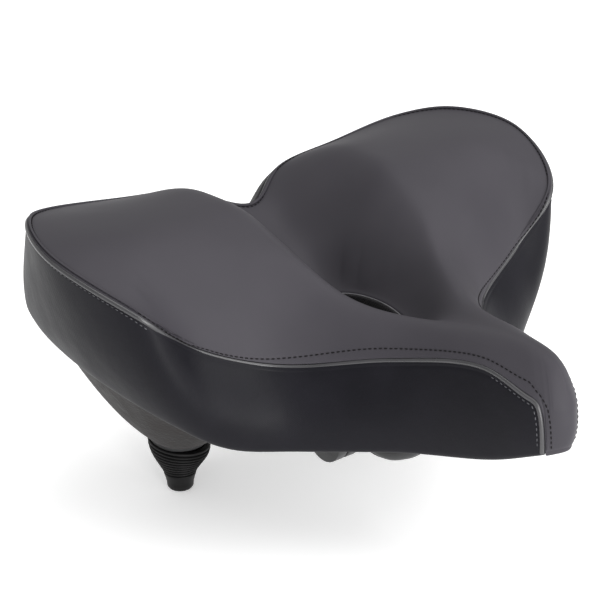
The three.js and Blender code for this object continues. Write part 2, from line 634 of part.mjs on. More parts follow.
function railCurve(side) {
  const foot = new THREE.Vector3(SPRING_X, -SPRING_SPACING / 2, RAIL_END_Z);
  const frontStraight = PIVOT_X - 14;
  const rising = (forward, inward, up) => new THREE.Vector3(
    lerp(RISE_FROM, frontStraight, forward), lerp(-railY, -noseRailY, inward),
    lerp(RAIL_HEIGHT, PIVOT_Z, up),
  );
  const entering = (distance) => foot.clone().addScaledVector(RAIL_ENTRY, distance);
  const points = [
    entering(-RAIL_REACH), entering(4), entering(10),
    new THREE.Vector3(SPRING_X - 20, -railY - 21, RAIL_END_Z + 9),
    new THREE.Vector3(SPRING_X - 23, -railY - 10, RAIL_END_Z + 24),
    new THREE.Vector3(SPRING_X - 12, -railY - 2, RAIL_HEIGHT - 10),
    new THREE.Vector3(SPRING_X + 12, -railY, RAIL_HEIGHT - 1.5),
    new THREE.Vector3(-60, -railY, RAIL_HEIGHT),
    new THREE.Vector3(-48, -railY, RAIL_HEIGHT),
    new THREE.Vector3(8, -railY, RAIL_HEIGHT),
    new THREE.Vector3(RISE_FROM, -railY, RAIL_HEIGHT),
    rising(0.31, 0.16, 0.24), rising(0.6, 0.55, 0.65), rising(0.81, 0.9, 0.94),
    new THREE.Vector3(frontStraight, -noseRailY, PIVOT_Z),
    new THREE.Vector3(PIVOT_X - 8, -noseRailY, PIVOT_Z),
    new THREE.Vector3(PIVOT_X + 3.5, -noseRailY, PIVOT_Z),
  ];
  if (side > 0) points.forEach((p) => p.setY(-p.y));
  return new THREE.CatmullRomCurve3(points, false, 'centripetal');
}

for (const side of [-1, 1]) {
  const hand = side < 0 ? 'right' : 'left';
  place(`rail_${hand}`, sweptRod(railCurve(side), RAIL_DIAMETER / 2, 8, 46), blackSteel());
}

// ---------------------------------------------------------------- nose bush and bracket

function noseBush() {
  const bush = alongY(rod(BUSH_RADIUS, -BUSH_WIDTH / 2, BUSH_WIDTH / 2, 24));
  const bores = [-noseRailY, noseRailY].map((y) => (
    alongX(rod(RAIL_DIAMETER / 2 + CLEAR, -2 * BUSH_RADIUS, 3.5 + CLEAR, 12)).translate(0, y, 0)
  ));
  return cut(bush, ...bores);
}
place('nose_bush', noseBush(), rubber()).position.set(PIVOT_X, 0, PIVOT_Z);

const BRACKET_REACH = 16;         // plate beyond the bush's axis, fore and aft
const BRACKET_TOP = panFloor(PIVOT_X - BRACKET_REACH, 0) - CLEAR - 0.5;
const BRACKET_WEB = 8;            // length of the web between hook and plate

function noseBracket() {
  const inner = BUSH_RADIUS + CLEAR;
  const outer = inner + BRACKET_WALL;
  const mouth = THREE.MathUtils.degToRad(40);
  const hook = new THREE.Shape();
  hook.absarc(0, 0, outer, -Math.PI + mouth, Math.PI - mouth, false);
  hook.absarc(0, 0, inner, Math.PI - mouth, -Math.PI + mouth, true);
  const top = BRACKET_TOP - PIVOT_Z;
  const plate = new THREE.BoxGeometry(2 * BRACKET_REACH, BRACKET_WIDTH, BRACKET_PLATE);
  plate.translate(0, 0, top - BRACKET_PLATE / 2);
  const webBottom = inner + BRACKET_WALL / 3;
  const webTop = top - BRACKET_PLATE / 2;
  const web = new THREE.BoxGeometry(BRACKET_WEB, BRACKET_WIDTH, webTop - webBottom);
  web.translate(0, 0, (webTop + webBottom) / 2);
  const ring = extruded(hook, BRACKET_WIDTH, 12).rotateX(Math.PI / 2).translate(0, BRACKET_WIDTH / 2, 0);
  const holes = [-SCREW_REACH, SCREW_REACH].map((x) => (
    rod(SCREW_DIAMETER / 2 + CLEAR, top - 2 * BRACKET_PLATE, top + 1, 12).translate(x, 0, 0)
  ));
  return cut(join(ring, plate, web), ...holes);
}
place('nose_bracket', noseBracket(), blackSteel()).position.set(PIVOT_X, 0, PIVOT_Z);

const bracketScrews = [['rear', -SCREW_REACH], ['front', SCREW_REACH]];
for (const [end, x] of bracketScrews) {
  const z = BRACKET_TOP - BRACKET_PLATE - CLEAR;
  const mesh = place(`bracket_screw_${end}`, screw(BRACKET_PLATE + CLEAR + PAN_THICKNESS - 1), zincSteel());
  mesh.position.set(PIVOT_X + x, 0, z);
}

// ---------------------------------------------------------------- seat-post clamp

const EAR_OUTER = EAR_GAP / 2 + EAR_WALL;
const CHEEK_INNER_FACE = BAND_RADIUS + 1;
const RAIL_GROOVE = RAIL_DIAMETER / 2 + CLEAR;

function clampBand() {
  const back = BOLT_X - BOLT_DIAMETER - 1;
  const shape = new THREE.Shape();
  const mouthIn = Math.asin(EAR_GAP / 2 / SOCKET_RADIUS);
  const mouthOut = Math.asin(EAR_OUTER / BAND_RADIUS);
  shape.moveTo(back, EAR_GAP / 2);
  shape.absarc(0, 0, SOCKET_RADIUS, Math.PI - mouthIn, -Math.PI + mouthIn, true);
  shape.lineTo(back, -EAR_GAP / 2);
  shape.lineTo(back, -EAR_OUTER);
  shape.absarc(0, 0, BAND_RADIUS, -Math.PI + mouthOut, Math.PI - mouthOut, false);
  shape.lineTo(back, EAR_OUTER);
  const bore = alongY(rod(BOLT_DIAMETER / 2 + CLEAR, -2 * EAR_OUTER, 2 * EAR_OUTER, 16));
  return cut(extruded(shape, BAND_HEIGHT, 20), bore.translate(BOLT_X, 0, BOLT_Z));
}
place('post_band', clampBand(), blackSteel());

const railTool = () => alongX(rod(RAIL_GROOVE, -4 * CHEEK_RADIUS, 4 * CHEEK_RADIUS, 12));
const railAcross = RAIL_HEIGHT - BOLT_Z;

function innerCheek() {
  const face = railY - 0.8;
  const hub = rod(CHEEK_HUB_RADIUS, EAR_OUTER + CLEAR, CHEEK_INNER_FACE + 1, 20);
  const disc = rod(CHEEK_RADIUS, CHEEK_INNER_FACE, face, 28);
  const bore = rod(BOLT_DIAMETER / 2 + CLEAR, 0, 2 * railY, 16);
  return alongY(cut(join(hub, disc), bore));
}

function outerCheek() {
  const face = railY + 0.8;
  const disc = rod(CHEEK_RADIUS, face, face + CHEEK_THICKNESS, 28);
  const bore = rod(BOLT_DIAMETER / 2 + CLEAR, 0, 4 * railY, 16);
  return alongY(cut(disc, bore));
}

const OUTER_FACE = railY + 0.8 + CHEEK_THICKNESS;
const atBolt = (geometry) => geometry.translate(BOLT_X, 0, BOLT_Z);
const handed = (geometry, side) => (side > 0 ? geometry : geometry.rotateZ(Math.PI));

for (const side of [-1, 1]) {
  const hand = side < 0 ? 'right' : 'left';
  const groove = () => railTool().translate(0, side * railY, railAcross);
  place(`inner_cheek_${hand}`, atBolt(cut(handed(innerCheek(), side), groove())), blackSteel());
  place(`outer_cheek_${hand}`, atBolt(cut(handed(outerCheek(), side), groove())), blackSteel());
  const washer = turned([
    [BOLT_DIAMETER / 2 + CLEAR, OUTER_FACE + CLEAR], [WASHER_RADIUS, OUTER_FACE + CLEAR],
    [WASHER_RADIUS, OUTER_FACE + CLEAR + WASHER_THICKNESS],
    [BOLT_DIAMETER / 2 + CLEAR, OUTER_FACE + CLEAR + WASHER_THICKNESS],
  ], 24, true);
  place(`washer_${hand}`, atBolt(handed(alongY(washer), side)), zincSteel());
}

const NUT_SEAT = OUTER_FACE + 2 * CLEAR + WASHER_THICKNESS;

function clampBolt() {
  const shank = rod(BOLT_DIAMETER / 2, -NUT_SEAT - NUT_HEIGHT - 2, NUT_SEAT + 1, 16);
  const head = rod(hexRadius(NUT_ACROSS_FLATS), NUT_SEAT, NUT_SEAT + NUT_HEIGHT, 6);
  return alongY(join(shank, head));
}

function clampNut() {
  const body = rod(hexRadius(NUT_ACROSS_FLATS), NUT_SEAT, NUT_SEAT + NUT_HEIGHT, 6);
  return alongY(cut(body, rod(BOLT_DIAMETER / 2 + 0.1, 0, 2 * NUT_SEAT, 16)));
}
place('clamp_bolt', atBolt(clampBolt()), zincSteel());
place('clamp_nut', atBolt(handed(clampNut(), -1)), zincSteel());

export default saddle;
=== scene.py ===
# %% [markdown]
# # A sprung bicycle saddle
# This lesson dresses a wide comfort saddle: vinyl stitched over foam, a moulded pan below it,
# two coil springs in rubber boots, and the rails and clamp that hold it on a seat post.
# The working model already exists, so the first step loads it as a fixed frame. Every piece
# made below stands in that frame, in metres: +X is the nose, +Y the rider's left, +Z up.

import math

import bpy
import numpy as np
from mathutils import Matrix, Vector
from mathutils.bvhtree import BVHTree


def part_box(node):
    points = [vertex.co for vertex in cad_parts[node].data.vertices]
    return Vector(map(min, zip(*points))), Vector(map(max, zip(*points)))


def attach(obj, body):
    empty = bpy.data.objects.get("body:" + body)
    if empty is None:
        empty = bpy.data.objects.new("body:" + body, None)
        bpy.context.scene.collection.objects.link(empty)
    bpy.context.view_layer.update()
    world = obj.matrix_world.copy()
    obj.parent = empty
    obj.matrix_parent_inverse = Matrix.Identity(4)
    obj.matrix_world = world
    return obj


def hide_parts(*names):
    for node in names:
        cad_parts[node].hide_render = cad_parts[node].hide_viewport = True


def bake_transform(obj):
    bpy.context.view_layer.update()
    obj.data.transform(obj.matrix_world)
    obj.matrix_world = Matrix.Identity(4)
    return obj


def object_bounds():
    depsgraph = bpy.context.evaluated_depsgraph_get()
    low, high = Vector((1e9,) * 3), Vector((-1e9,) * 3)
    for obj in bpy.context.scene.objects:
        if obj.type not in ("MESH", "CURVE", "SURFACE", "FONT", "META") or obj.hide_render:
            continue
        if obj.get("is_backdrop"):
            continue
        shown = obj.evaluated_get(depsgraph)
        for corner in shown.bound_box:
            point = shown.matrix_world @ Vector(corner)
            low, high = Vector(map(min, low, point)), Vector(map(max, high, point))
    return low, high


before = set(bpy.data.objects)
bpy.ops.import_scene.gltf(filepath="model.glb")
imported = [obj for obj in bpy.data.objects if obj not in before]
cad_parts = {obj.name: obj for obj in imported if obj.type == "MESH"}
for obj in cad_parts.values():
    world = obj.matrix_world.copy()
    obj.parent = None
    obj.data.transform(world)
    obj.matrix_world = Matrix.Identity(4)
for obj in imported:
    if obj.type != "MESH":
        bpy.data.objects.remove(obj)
working_box = [list(corner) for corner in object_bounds()]
MM = 0.001
print("working model, metres:", working_box)

# %% [markdown]
# ## Helpers
# Blender's operators act on whatever is selected, so each helper deselects everything first
# and makes one object active. Modifiers are applied as soon as they are set, which keeps
# every finished piece a plain mesh at the origin.


# %% Select, smooth and finish
def only(obj):
    """Selects obj alone and makes it active."""
    bpy.ops.object.select_all(action="DESELECT")
    obj.select_set(True)
    bpy.context.view_layer.objects.active = obj
    return obj


def apply_modifier(obj, kind, **settings):
    """Adds a modifier, sets it and applies it."""
    only(obj)
    modifier = obj.modifiers.new(kind.title(), kind)
    for name, value in settings.items():
        setattr(modifier, name, value)
    bpy.ops.object.modifier_apply(modifier=modifier.name)
    return obj


def subdivide_smoothly(obj, levels=1):
    return apply_modifier(obj, "SUBSURF", levels=levels, render_levels=levels)


def merge_and_face_out(obj, distance=1e-5):
    only(obj)
    bpy.ops.object.mode_set(mode="EDIT")
    bpy.ops.mesh.select_all(action="SELECT")
    bpy.ops.mesh.remove_doubles(threshold=distance)
    bpy.ops.mesh.normals_make_consistent(inside=False)
    bpy.ops.object.mode_set(mode="OBJECT")
    return obj


def smooth_by_angle(obj, degrees=40):
    only(obj)
    bpy.ops.object.shade_smooth_by_angle(angle=math.radians(degrees))
    return obj


def smooth(obj):
    only(obj)
    bpy.ops.object.shade_smooth()
    return obj


def linked(name, data):
    """A new object for a mesh, curve, light or camera, linked to the scene."""
    obj = bpy.data.objects.new(name, data)
    bpy.context.scene.collection.objects.link(obj)
    return obj


def settle(obj):
    """Puts the object's place into its mesh."""
    only(obj)
    bpy.ops.object.transform_apply(location=True, rotation=True, scale=True)
    return obj


# %% [markdown]
# ## The shape of the seat
# The seat is symmetrical, so its right half is given and mirrored. Two lines shape it: the
# shoulder, where the grey cover meets the black side, and the hem at the bottom of the side.
# Each has fourteen stations from the notch at the rear, round the wing and the waist, to the
# nose tip. Stations are shares of the seat's half length and half width, so the whole seat
# follows from its length and width.

# %% Driving sizes and stations
SEAT_LENGTH = 262 * MM
SEAT_WIDTH = 286 * MM
NOSE_WIDTH = 35 * MM
NOSE_TIP_X = 112.5 * MM
RAIL_HEIGHT = 12.2 * MM
MIDDLE_X = NOSE_TIP_X - SEAT_LENGTH / 2
NOSE_SHARE_FROM = 9

# along, across, height, width of the rolled shoulder, bulge of the side
SHOULDER = [
    (-0.75, 0, 75.5, 22, 6), (-0.86, 0.2, 85, 34, 5), (-0.867, 0.46, 90.1, 42, 3),
    (-0.863, 0.774, 95.4, 42, 2.5), (-0.7, 0.922, 101.1, 42, 3), (-0.405, 0.997, 98.8, 44, 4),
    (-0.07, 0.878, 82.8, 42, 5), (-0.026, 0.678, 59.9, 36, 5), (0.076, 0.438, 47.2, 32, 5),
    (0.369, 1.777, 55.8, 25, 4), (0.698, 0.943, 65.2, 15, 3), (0.897, 0.674, 58.8, 12, 2),
    (0.974, 0.36, 55, 12, 1.5), (1, 0, 54.5, 12, 1.5),
]
# along, across, height
HEM = [
    (-0.851, 0, 33.5), (-0.962, 0.197, 37), (-0.992, 0.45, 40.2), (-1.009, 0.764, 41.8),
    (-0.796, 0.855, 40.7), (-0.44, 0.865, 34.3), (-0.064, 0.769, 22.8), (0.057, 0.634, 11.1),
    (0.183, 0.438, 7.4), (0.458, 1.869, 12.4), (0.764, 1, 21.4), (0.897, 0.657, 28.5),
    (0.954, 0.4, 31.5), (0.989, 0, 33.3),
]
TIP = len(SHOULDER) - 1
LAP = 2 * TIP
print("stations round the seat:", LAP)


# %% A smooth closed line through the stations
def mirrored_loop(rows):
    """The stations as points in metres, right side first, then the left side back."""
    right = []
    for index, row in enumerate(rows):
        half_width = (SEAT_WIDTH if index < NOSE_SHARE_FROM else NOSE_WIDTH) / 2
        x = MIDDLE_X + row[0] * SEAT_LENGTH / 2
        right.append((x, -row[1] * half_width, RAIL_HEIGHT + row[2] * MM))
    left = [(x, -y, z) for x, y, z in right[-2:0:-1]]
    return np.array(right + left)


def on_loop(loop, q):
    """Points of the closed centripetal curve at stations q, which may be an array."""
    q = np.asarray(q, float) % len(loop)
    start = np.floor(q).astype(int)
    w = (q - start)[..., None]
    p0, p1, p2, p3 = (loop[(start + shift) % len(loop)] for shift in (-1, 0, 1, 2))
    d0, d1, d2 = (
        np.sqrt(np.linalg.norm(b - a, axis=-1))[..., None]
        for a, b in ((p0, p1), (p1, p2), (p2, p3))
    )
    t1 = ((p1 - p0) / d0 - (p2 - p0) / (d0 + d1) + (p2 - p1) / d1) * d1
    t2 = ((p2 - p1) / d1 - (p3 - p1) / (d1 + d2) + (p3 - p2) / d2) * d1
    bend = -3 * p1 + 3 * p2 - 2 * t1 - t2
    twist = 2 * p1 - 2 * p2 + t1 + t2
    return p1 + t1 * w + bend * w**2 + twist * w**3


shoulder_loop = mirrored_loop(SHOULDER)
hem_loop = mirrored_loop(HEM)
print("shoulder length, mm:", round(np.linalg.norm(
    np.diff(on_loop(shoulder_loop, np.linspace(0, LAP, 400)), axis=0), axis=1).sum() / MM))


# %% Values that change from station to station
def eased(t):
    t = np.clip(t, 0, 1)
    return t * t * (3 - 2 * t)


def ramp(x, start, end):
    return eased((x - start) / (end - start))


def half_station(q):
    """Stations 0 to 13 on both sides: q runs on round the nose to the left side."""
    q = np.asarray(q, float) % LAP
    return np.where(q > TIP, LAP - q, q)


def by_station(values, q):
    """A value of each station, blended smoothly round the whole loop."""
    ring = np.array(list(values) + list(values[-2:0:-1]), float)
    q = np.asarray(q, float) % LAP
    i = np.floor(q).astype(int)
    w = q - i
    a, b, c, d = (ring[(i + shift) % LAP] for shift in (-1, 0, 1, 2))
    return b + 0.5 * w * (c - a + w * (2 * a - 5 * b + 4 * c - d + w * (3 * (b - c) + d - a)))


def through(stations, x):
    """A smooth curve through a few (x, y) stations, flat beyond its ends."""
    xs, ys = np.array(stations, float).T
    ahead = np.r_[np.arange(1, len(xs)), len(xs) - 1]
    behind = np.r_[0, np.arange(len(xs) - 1)]
    slope = (ys[ahead] - ys[behind]) / (xs[ahead] - xs[behind])
    x = np.clip(x, xs[0], xs[-1])
    i = np.clip(np.searchsorted(xs, x, side="right") - 1, 0, len(xs) - 2)
    span = xs[i + 1] - xs[i]
    t = (x - xs[i]) / span
    rise = (3 - 2 * t) * t * t
    return (
        ys[i] * (1 - rise)
        + ys[i + 1] * rise
        + span * (t - 1) * t * ((t - 1) * slope[i] + t * slope[i + 1])
    )


def outward(q):
    """The level direction that points out of the side at each station."""
    ahead = on_loop(shoulder_loop, q + 0.1) + on_loop(hem_loop, q + 0.1)
    behind = on_loop(shoulder_loop, q - 0.1) + on_loop(hem_loop, q - 0.1)
    along = ahead - behind
    level = np.stack([along[..., 1], -along[..., 0], 0 * along[..., 0]], axis=-1)
    return level / np.linalg.norm(level, axis=-1, keepdims=True)


# %% [markdown]
# The top of the seat is a height above every point of the plan: low along the middle, high
# along the crest of each wing, and rolling down to the shoulder line. The relief opening in
# the middle is an ellipse. Each column of the surface runs from a point of the shoulder to a
# point of that ellipse or, on the nose, to the centre line.

# %% The top of the seat
RELIEF_LENGTH = 62 * MM
RELIEF_WIDTH = 25 * MM
RELIEF_CENTRE_X = -25 * MM
BOWL_DEPTH = 6 * MM
BOWL_REACH = 26 * MM
RELIEF_ANGLES = [180, 168, 155, 141, 126, 108, 90, 68, 38, 0]
SPINE_SHARES = [0, 0.45, 0.8, 0.92, 0.96]
SPINE_FROM = 9
CENTRE_LINE = [
    (-0.9, 80), (-0.75, 75), (-0.55, 66), (-0.3, 55), (-0.08, 51), (0.18, 56),
    (0.34, 65), (0.5, 70.5), (0.64, 74), (0.8, 75.5), (0.92, 73), (1, 68),
]
CREST = [
    (-1, 97), (-0.75, 99.5), (-0.5, 102.5), (-0.35, 102), (-0.2, 95),
    (-0.05, 86), (0.1, 78), (0.3, 73), (0.5, 73.5), (0.64, 75),
]
CREST_OFFSET = [(-0.9, 52), (-0.3, 48), (-0.05, 42), (0.1, 36), (0.3, 24), (0.6, 14)]
SIDE_LEAN = 0.8
NOTCH_LEAN = 2.5

outline_q = np.linspace(0, LAP, 12 * LAP + 1)
outline = on_loop(shoulder_loop, outline_q)
outline_roll = by_station([row[3] * MM for row in SHOULDER], outline_q)


def nearest_shoulder(x, y):
    """Distance to the shoulder line, and its height and roll there."""
    a, b = outline[:-1], outline[1:]
    step = (b - a)[:, :2]
    offset = np.stack([x, y], axis=-1)[..., None, :] - a[:, :2]
    t = np.clip((offset * step).sum(-1) / (step**2).sum(-1), 0, 1)
    distance = np.linalg.norm(offset - t[..., None] * step, axis=-1)
    best = distance.argmin(axis=-1)
    t = np.take_along_axis(t, best[..., None], -1)[..., 0]
    height = a[best, 2] + t * (b - a)[best, 2]
    roll = outline_roll[best] + t * (outline_roll[best + 1] - outline_roll[best])
    return distance.min(axis=-1), height, roll


def relief_distance(x, y):
    """Distance to the edge of the relief opening, along the ray from its centre."""
    from_centre = np.hypot(x - RELIEF_CENTRE_X, y)
    share = np.hypot((x - RELIEF_CENTRE_X) / (RELIEF_LENGTH / 2), y / (RELIEF_WIDTH / 2))
    return from_centre * np.clip(1 - 1 / np.maximum(share, 1), 0, 1)


def top_height(x, y):
    along = (x - MIDDLE_X) / (SEAT_LENGTH / 2)
    centre = through(CENTRE_LINE, along) * MM
    crest = through(CREST, along) * MM
    offset = through(CREST_OFFSET, along) * MM
    free = RAIL_HEIGHT + centre + (crest - centre) * eased(np.abs(y) / offset)
    free = free - BOWL_DEPTH * (1 - eased(relief_distance(x, y) / BOWL_REACH))
    distance, edge_height, roll = nearest_shoulder(x, y)
    fall = (1 - np.clip(distance / roll, 0, 1)) ** 2.2
    return free + (edge_height - free) * fall


def inner_end(q):
    """Where a column of the top ends: on the relief opening, or on the nose's centre line."""
    k = half_station(q)
    side = np.where(np.asarray(q, float) % LAP > TIP, 1, -1)
    angle = np.radians(np.interp(k, range(SPINE_FROM + 1), RELIEF_ANGLES))
    share = np.interp(k - SPINE_FROM, range(len(SPINE_SHARES)), SPINE_SHARES)
    front = RELIEF_CENTRE_X + RELIEF_LENGTH / 2
    spine_x = front + share * (NOSE_TIP_X - 12 * MM - front)
    x = np.where(k <= SPINE_FROM, RELIEF_CENTRE_X + np.cos(angle) * RELIEF_LENGTH / 2, spine_x)
    y = np.where(k < SPINE_FROM, side * np.sin(angle) * RELIEF_WIDTH / 2, 0)
    return x, y


def skin(q, v):
    """The seat's outside: v is 0 at the hem, 1 at the shoulder, 2 at the column's inner end."""
    q, v = np.broadcast_arrays(np.asarray(q, float), np.asarray(v, float))
    shoulder = on_loop(shoulder_loop, q)
    hem = on_loop(hem_loop, q)
    up = np.clip(v, 0, 1)
    lean = NOTCH_LEAN + (SIDE_LEAN - NOTCH_LEAN) * ramp(half_station(q), 1, 2.2)
    bulge = by_station([row[4] * MM for row in SHOULDER], q) * np.sin(np.pi * up**lean)
    side = hem + (shoulder - hem) * up[..., None] + outward(q) * bulge[..., None]
    x_end, y_end = inner_end(q)
    in_share = np.clip(v - 1, 0, 1)
    x = shoulder[..., 0] + (x_end - shoulder[..., 0]) * in_share
    y = shoulder[..., 1] + (y_end - shoulder[..., 1]) * in_share
    top = np.stack([x, y, top_height(x, y)], axis=-1)
    return np.where((v <= 1)[..., None], side, top)


SEAM_TURN_FROM = 10.95
SEAM_TURN_SPAN = 0.93
SEAM_TURN_POWER = 3.5


def seam_level(q):
    """Height of the seam on the side: along the shoulder, then down the nose's corner."""
    turned = np.clip((half_station(q) - SEAM_TURN_FROM) / SEAM_TURN_SPAN, 0, 1)
    return 1 - turned**SEAM_TURN_POWER


wing_top = top_height(np.array([-60 * MM]), np.array([60 * MM]))[0]
print("top of a wing, mm:", round(float(wing_top) / MM, 1))

# %% [markdown]
# ## Sheets from rows of points
# Vinyl is cut from flat sheet and stitched, so each skin is built as a grid of points. Its
# columns run round the seat and its rows run up it. The grid also gives a UV map in metres,
# which lets a woven pattern follow the sheet round every corner at its true size.


# %% Make a sheet
def make_sheet(name, grid, ring=False):
    """A mesh from grid[column, row], with a UV map measured in metres along the sheet."""
    columns, rows = grid.shape[:2]
    spans = columns if ring else columns - 1
    faces = []
    for c in range(spans):
        for r in range(rows - 1):
            right = (c + 1) % columns
            faces.append((c * rows + r, right * rows + r, right * rows + r + 1, c * rows + r + 1))
    mesh = bpy.data.meshes.new(name)
    mesh.from_pydata(grid.reshape(-1, 3).tolist(), [], faces)
    middle = rows // 2
    step = np.linalg.norm(np.diff(grid[:, middle], axis=0), axis=-1)
    along = np.r_[0, np.cumsum(step)]
    closing = along[-1] + np.linalg.norm(grid[0, middle] - grid[-1, middle])
    climb = np.linalg.norm(np.diff(grid, axis=1), axis=-1).mean(axis=0)
    up = np.r_[0, np.cumsum(climb)]
    layer = mesh.uv_layers.new(name="UVMap")
    for face in mesh.polygons:
        for corner, vertex in zip(face.loop_indices, face.vertices):
            c, r = divmod(vertex, rows)
            wrapped = ring and c == 0 and max(face.vertices) // rows == columns - 1
            layer.data[corner].uv = (closing if wrapped else along[c], up[r])
    return linked(name, mesh)


def joined(first, *others):
    only(first)
    for other in others:
        other.select_set(True)
    bpy.ops.object.join()
    return first


def pin(obj, held):
    """A vertex group of the points in the mask held, for the cloth to hang on."""
    group = obj.vertex_groups.new(name="stitched_down")
    group.add([int(i) for i in np.flatnonzero(held)], 1.0, "REPLACE")
    return group


def points_of(obj):
    co = np.empty(len(obj.data.vertices) * 3)
    obj.data.vertices.foreach_get("co", co)
    return co.reshape(-1, 3)


# %% [markdown]
# ## Stuffing the cover
# Foam presses the vinyl out between its seams. A short cloth simulation does the same: the
# sheet is pinned where it is sewn, gravity is off, and a little pressure swells it. How far a
# point may move is capped, so the seat keeps its measured shape and gains only fullness.

# %% Swell a sheet over its foam
SWELL_FRAMES = 20


def swell(obj, held, pressure, cap):
    """Cloth pressure from frame 1 to 20, each point moved by at most cap."""
    rest = points_of(obj)
    pin(obj, held)
    only(obj)
    cloth = obj.modifiers.new("Cloth", "CLOTH")
    cloth.settings.quality = 5
    cloth.settings.mass = 0.3
    cloth.settings.tension_stiffness = 25
    cloth.settings.compression_stiffness = 25
    cloth.settings.shear_stiffness = 10
    cloth.settings.bending_stiffness = 2
    cloth.settings.vertex_group_mass = "stitched_down"
    cloth.settings.use_pressure = True
    cloth.settings.uniform_pressure_force = pressure
    cloth.settings.effector_weights.gravity = 0
    cloth.collision_settings.use_collision = False
    cloth.point_cache.frame_start = 1
    cloth.point_cache.frame_end = SWELL_FRAMES
    for step in range(1, SWELL_FRAMES + 1):
        bpy.context.scene.frame_set(step)
    bpy.ops.object.modifier_apply(modifier="Cloth")
    moved = points_of(obj) - rest
    far = np.linalg.norm(moved, axis=1, keepdims=True)
    moved *= np.minimum(1, cap / np.maximum(far, 1e-9))
    obj.data.vertices.foreach_set("co", (rest + moved).ravel())
    obj.data.update()
    obj.vertex_groups.clear()
    bpy.context.scene.frame_set(1)
    print(obj.name, "swelled by up to", round(float(far.max() / MM), 2), "mm, capped at", cap / MM)
    return obj

# %% [markdown]
# ## Finishes
# Each finish is a Principled shader fed by patterns that change over the surface. Effects that
# several finishes share are node groups with named inputs: a fine grain, a woven emboss that
# follows the sheet's own UV map, and wear on exposed edges. Constants stay on the shader.


# %% Node helpers
def new_group(name, inputs, outputs):
    """An empty shader node group with number sockets; returns it with its two end nodes."""
    group = bpy.data.node_groups.new(name, "ShaderNodeTree")
    for label, value in inputs.items():
        socket = group.interface.new_socket(label, in_out="INPUT", socket_type="NodeSocketFloat")
        socket.default_value = value
    for label in outputs:
        group.interface.new_socket(label, in_out="OUTPUT", socket_type="NodeSocketFloat")
    return group, group.nodes.new("NodeGroupInput"), group.nodes.new("NodeGroupOutput")


def maths(tree, operation, first, second=0.0, third=None):
    """A Math node; each operand is a number or a socket."""
    node = tree.nodes.new("ShaderNodeMath")
    node.operation = operation
    for slot_index, operand in enumerate((first, second, third)):
        if operand is None:
            continue
        if isinstance(operand, (int, float)):
            node.inputs[slot_index].default_value = operand
        else:
            tree.links.new(operand, node.inputs[slot_index])
    return node.outputs[0]


def texture(tree, kind, coordinates, scale, **values):
    """A texture node on coordinates; scale is a number or a socket."""
    node = tree.nodes.new(kind)
    tree.links.new(coordinates, node.inputs["Vector"])
    if isinstance(scale, (int, float)):
        node.inputs["Scale"].default_value = scale
    else:
        tree.links.new(scale, node.inputs["Scale"])
    for label, value in values.items():
        node.inputs[label.replace("_", " ").title()].default_value = value
    return node


# %% Shared effect: fine grain
def make_grain_group():
    """Pores and creases of a moulded or coated surface, and slow patches of tone."""
    group, given, result = new_group(
        "fine_grain", {"Grain Per Metre": 1500.0, "Patches Per Metre": 30.0}, ("Height", "Patches")
    )
    place = group.nodes.new("ShaderNodeTexCoord").outputs["Object"]
    cells = texture(group, "ShaderNodeTexVoronoi", place, given.outputs["Grain Per Metre"])
    cells.feature = "SMOOTH_F1"
    finer = maths(group, "MULTIPLY", given.outputs["Grain Per Metre"], 0.45)
    creases = texture(group, "ShaderNodeTexNoise", place, finer, detail=4.0, roughness=0.6)
    slow = texture(group, "ShaderNodeTexNoise", place, given.outputs["Patches Per Metre"],
                   detail=3.0, roughness=0.5)
    height = maths(group, "MULTIPLY_ADD", cells.outputs["Distance"], 0.6, creases.outputs[0])
    group.links.new(height, result.inputs["Height"])
    group.links.new(slow.outputs[0], result.inputs["Patches"])
    return group


# %% Shared effect: woven emboss
def make_weave_group():
    """A plain weave pressed into the sheet, from its UV map in metres."""
    group, given, result = new_group("woven_emboss", {"Threads Per Metre": 1400.0}, ("Height",))
    sheet_map = group.nodes.new("ShaderNodeUVMap")
    sheet_map.uv_map = "UVMap"
    apart = group.nodes.new("ShaderNodeSeparateXYZ")
    group.links.new(sheet_map.outputs["UV"], apart.inputs[0])
    turn = maths(group, "MULTIPLY", given.outputs["Threads Per Metre"], math.pi)
    warp = maths(group, "SINE", maths(group, "MULTIPLY", apart.outputs["X"], turn))
    weft = maths(group, "SINE", maths(group, "MULTIPLY", apart.outputs["Y"], turn))
    group.links.new(maths(group, "MULTIPLY", warp, weft), result.inputs["Height"])
    return group


# %% Shared effect: edge wear
def make_wear_group():
    """1 on rubbed outer edges, broken up by scratches, and 0 elsewhere."""
    group, given, result = new_group("edge_wear", {"Amount": 0.5}, ("Worn",))
    edge = group.nodes.new("ShaderNodeNewGeometry").outputs["Pointiness"]
    place = group.nodes.new("ShaderNodeTexCoord").outputs["Object"]
    scratches = texture(group, "ShaderNodeTexNoise", place, 420.0, detail=5.0, roughness=0.7)
    sharp = maths(group, "MULTIPLY", maths(group, "SUBTRACT", edge, 0.53), 9.0)
    broken = maths(group, "MULTIPLY", sharp, scratches.outputs[0])
    worn = maths(group, "MULTIPLY", broken, given.outputs["Amount"])
    clamped = maths(group, "MINIMUM", maths(group, "MAXIMUM", worn, 0.0), 1.0)
    group.links.new(clamped, result.inputs["Worn"])
    return group


grain_group = make_grain_group()
weave_group = make_weave_group()
wear_group = make_wear_group()
print("shared effects:", [g.name for g in bpy.data.node_groups])


# %% Build a finish
def placed(tree, group, **values):
    node = tree.nodes.new("ShaderNodeGroup")
    node.node_tree = group
    for label, value in values.items():
        node.inputs[label.replace("_", " ").title()].default_value = value
    return node


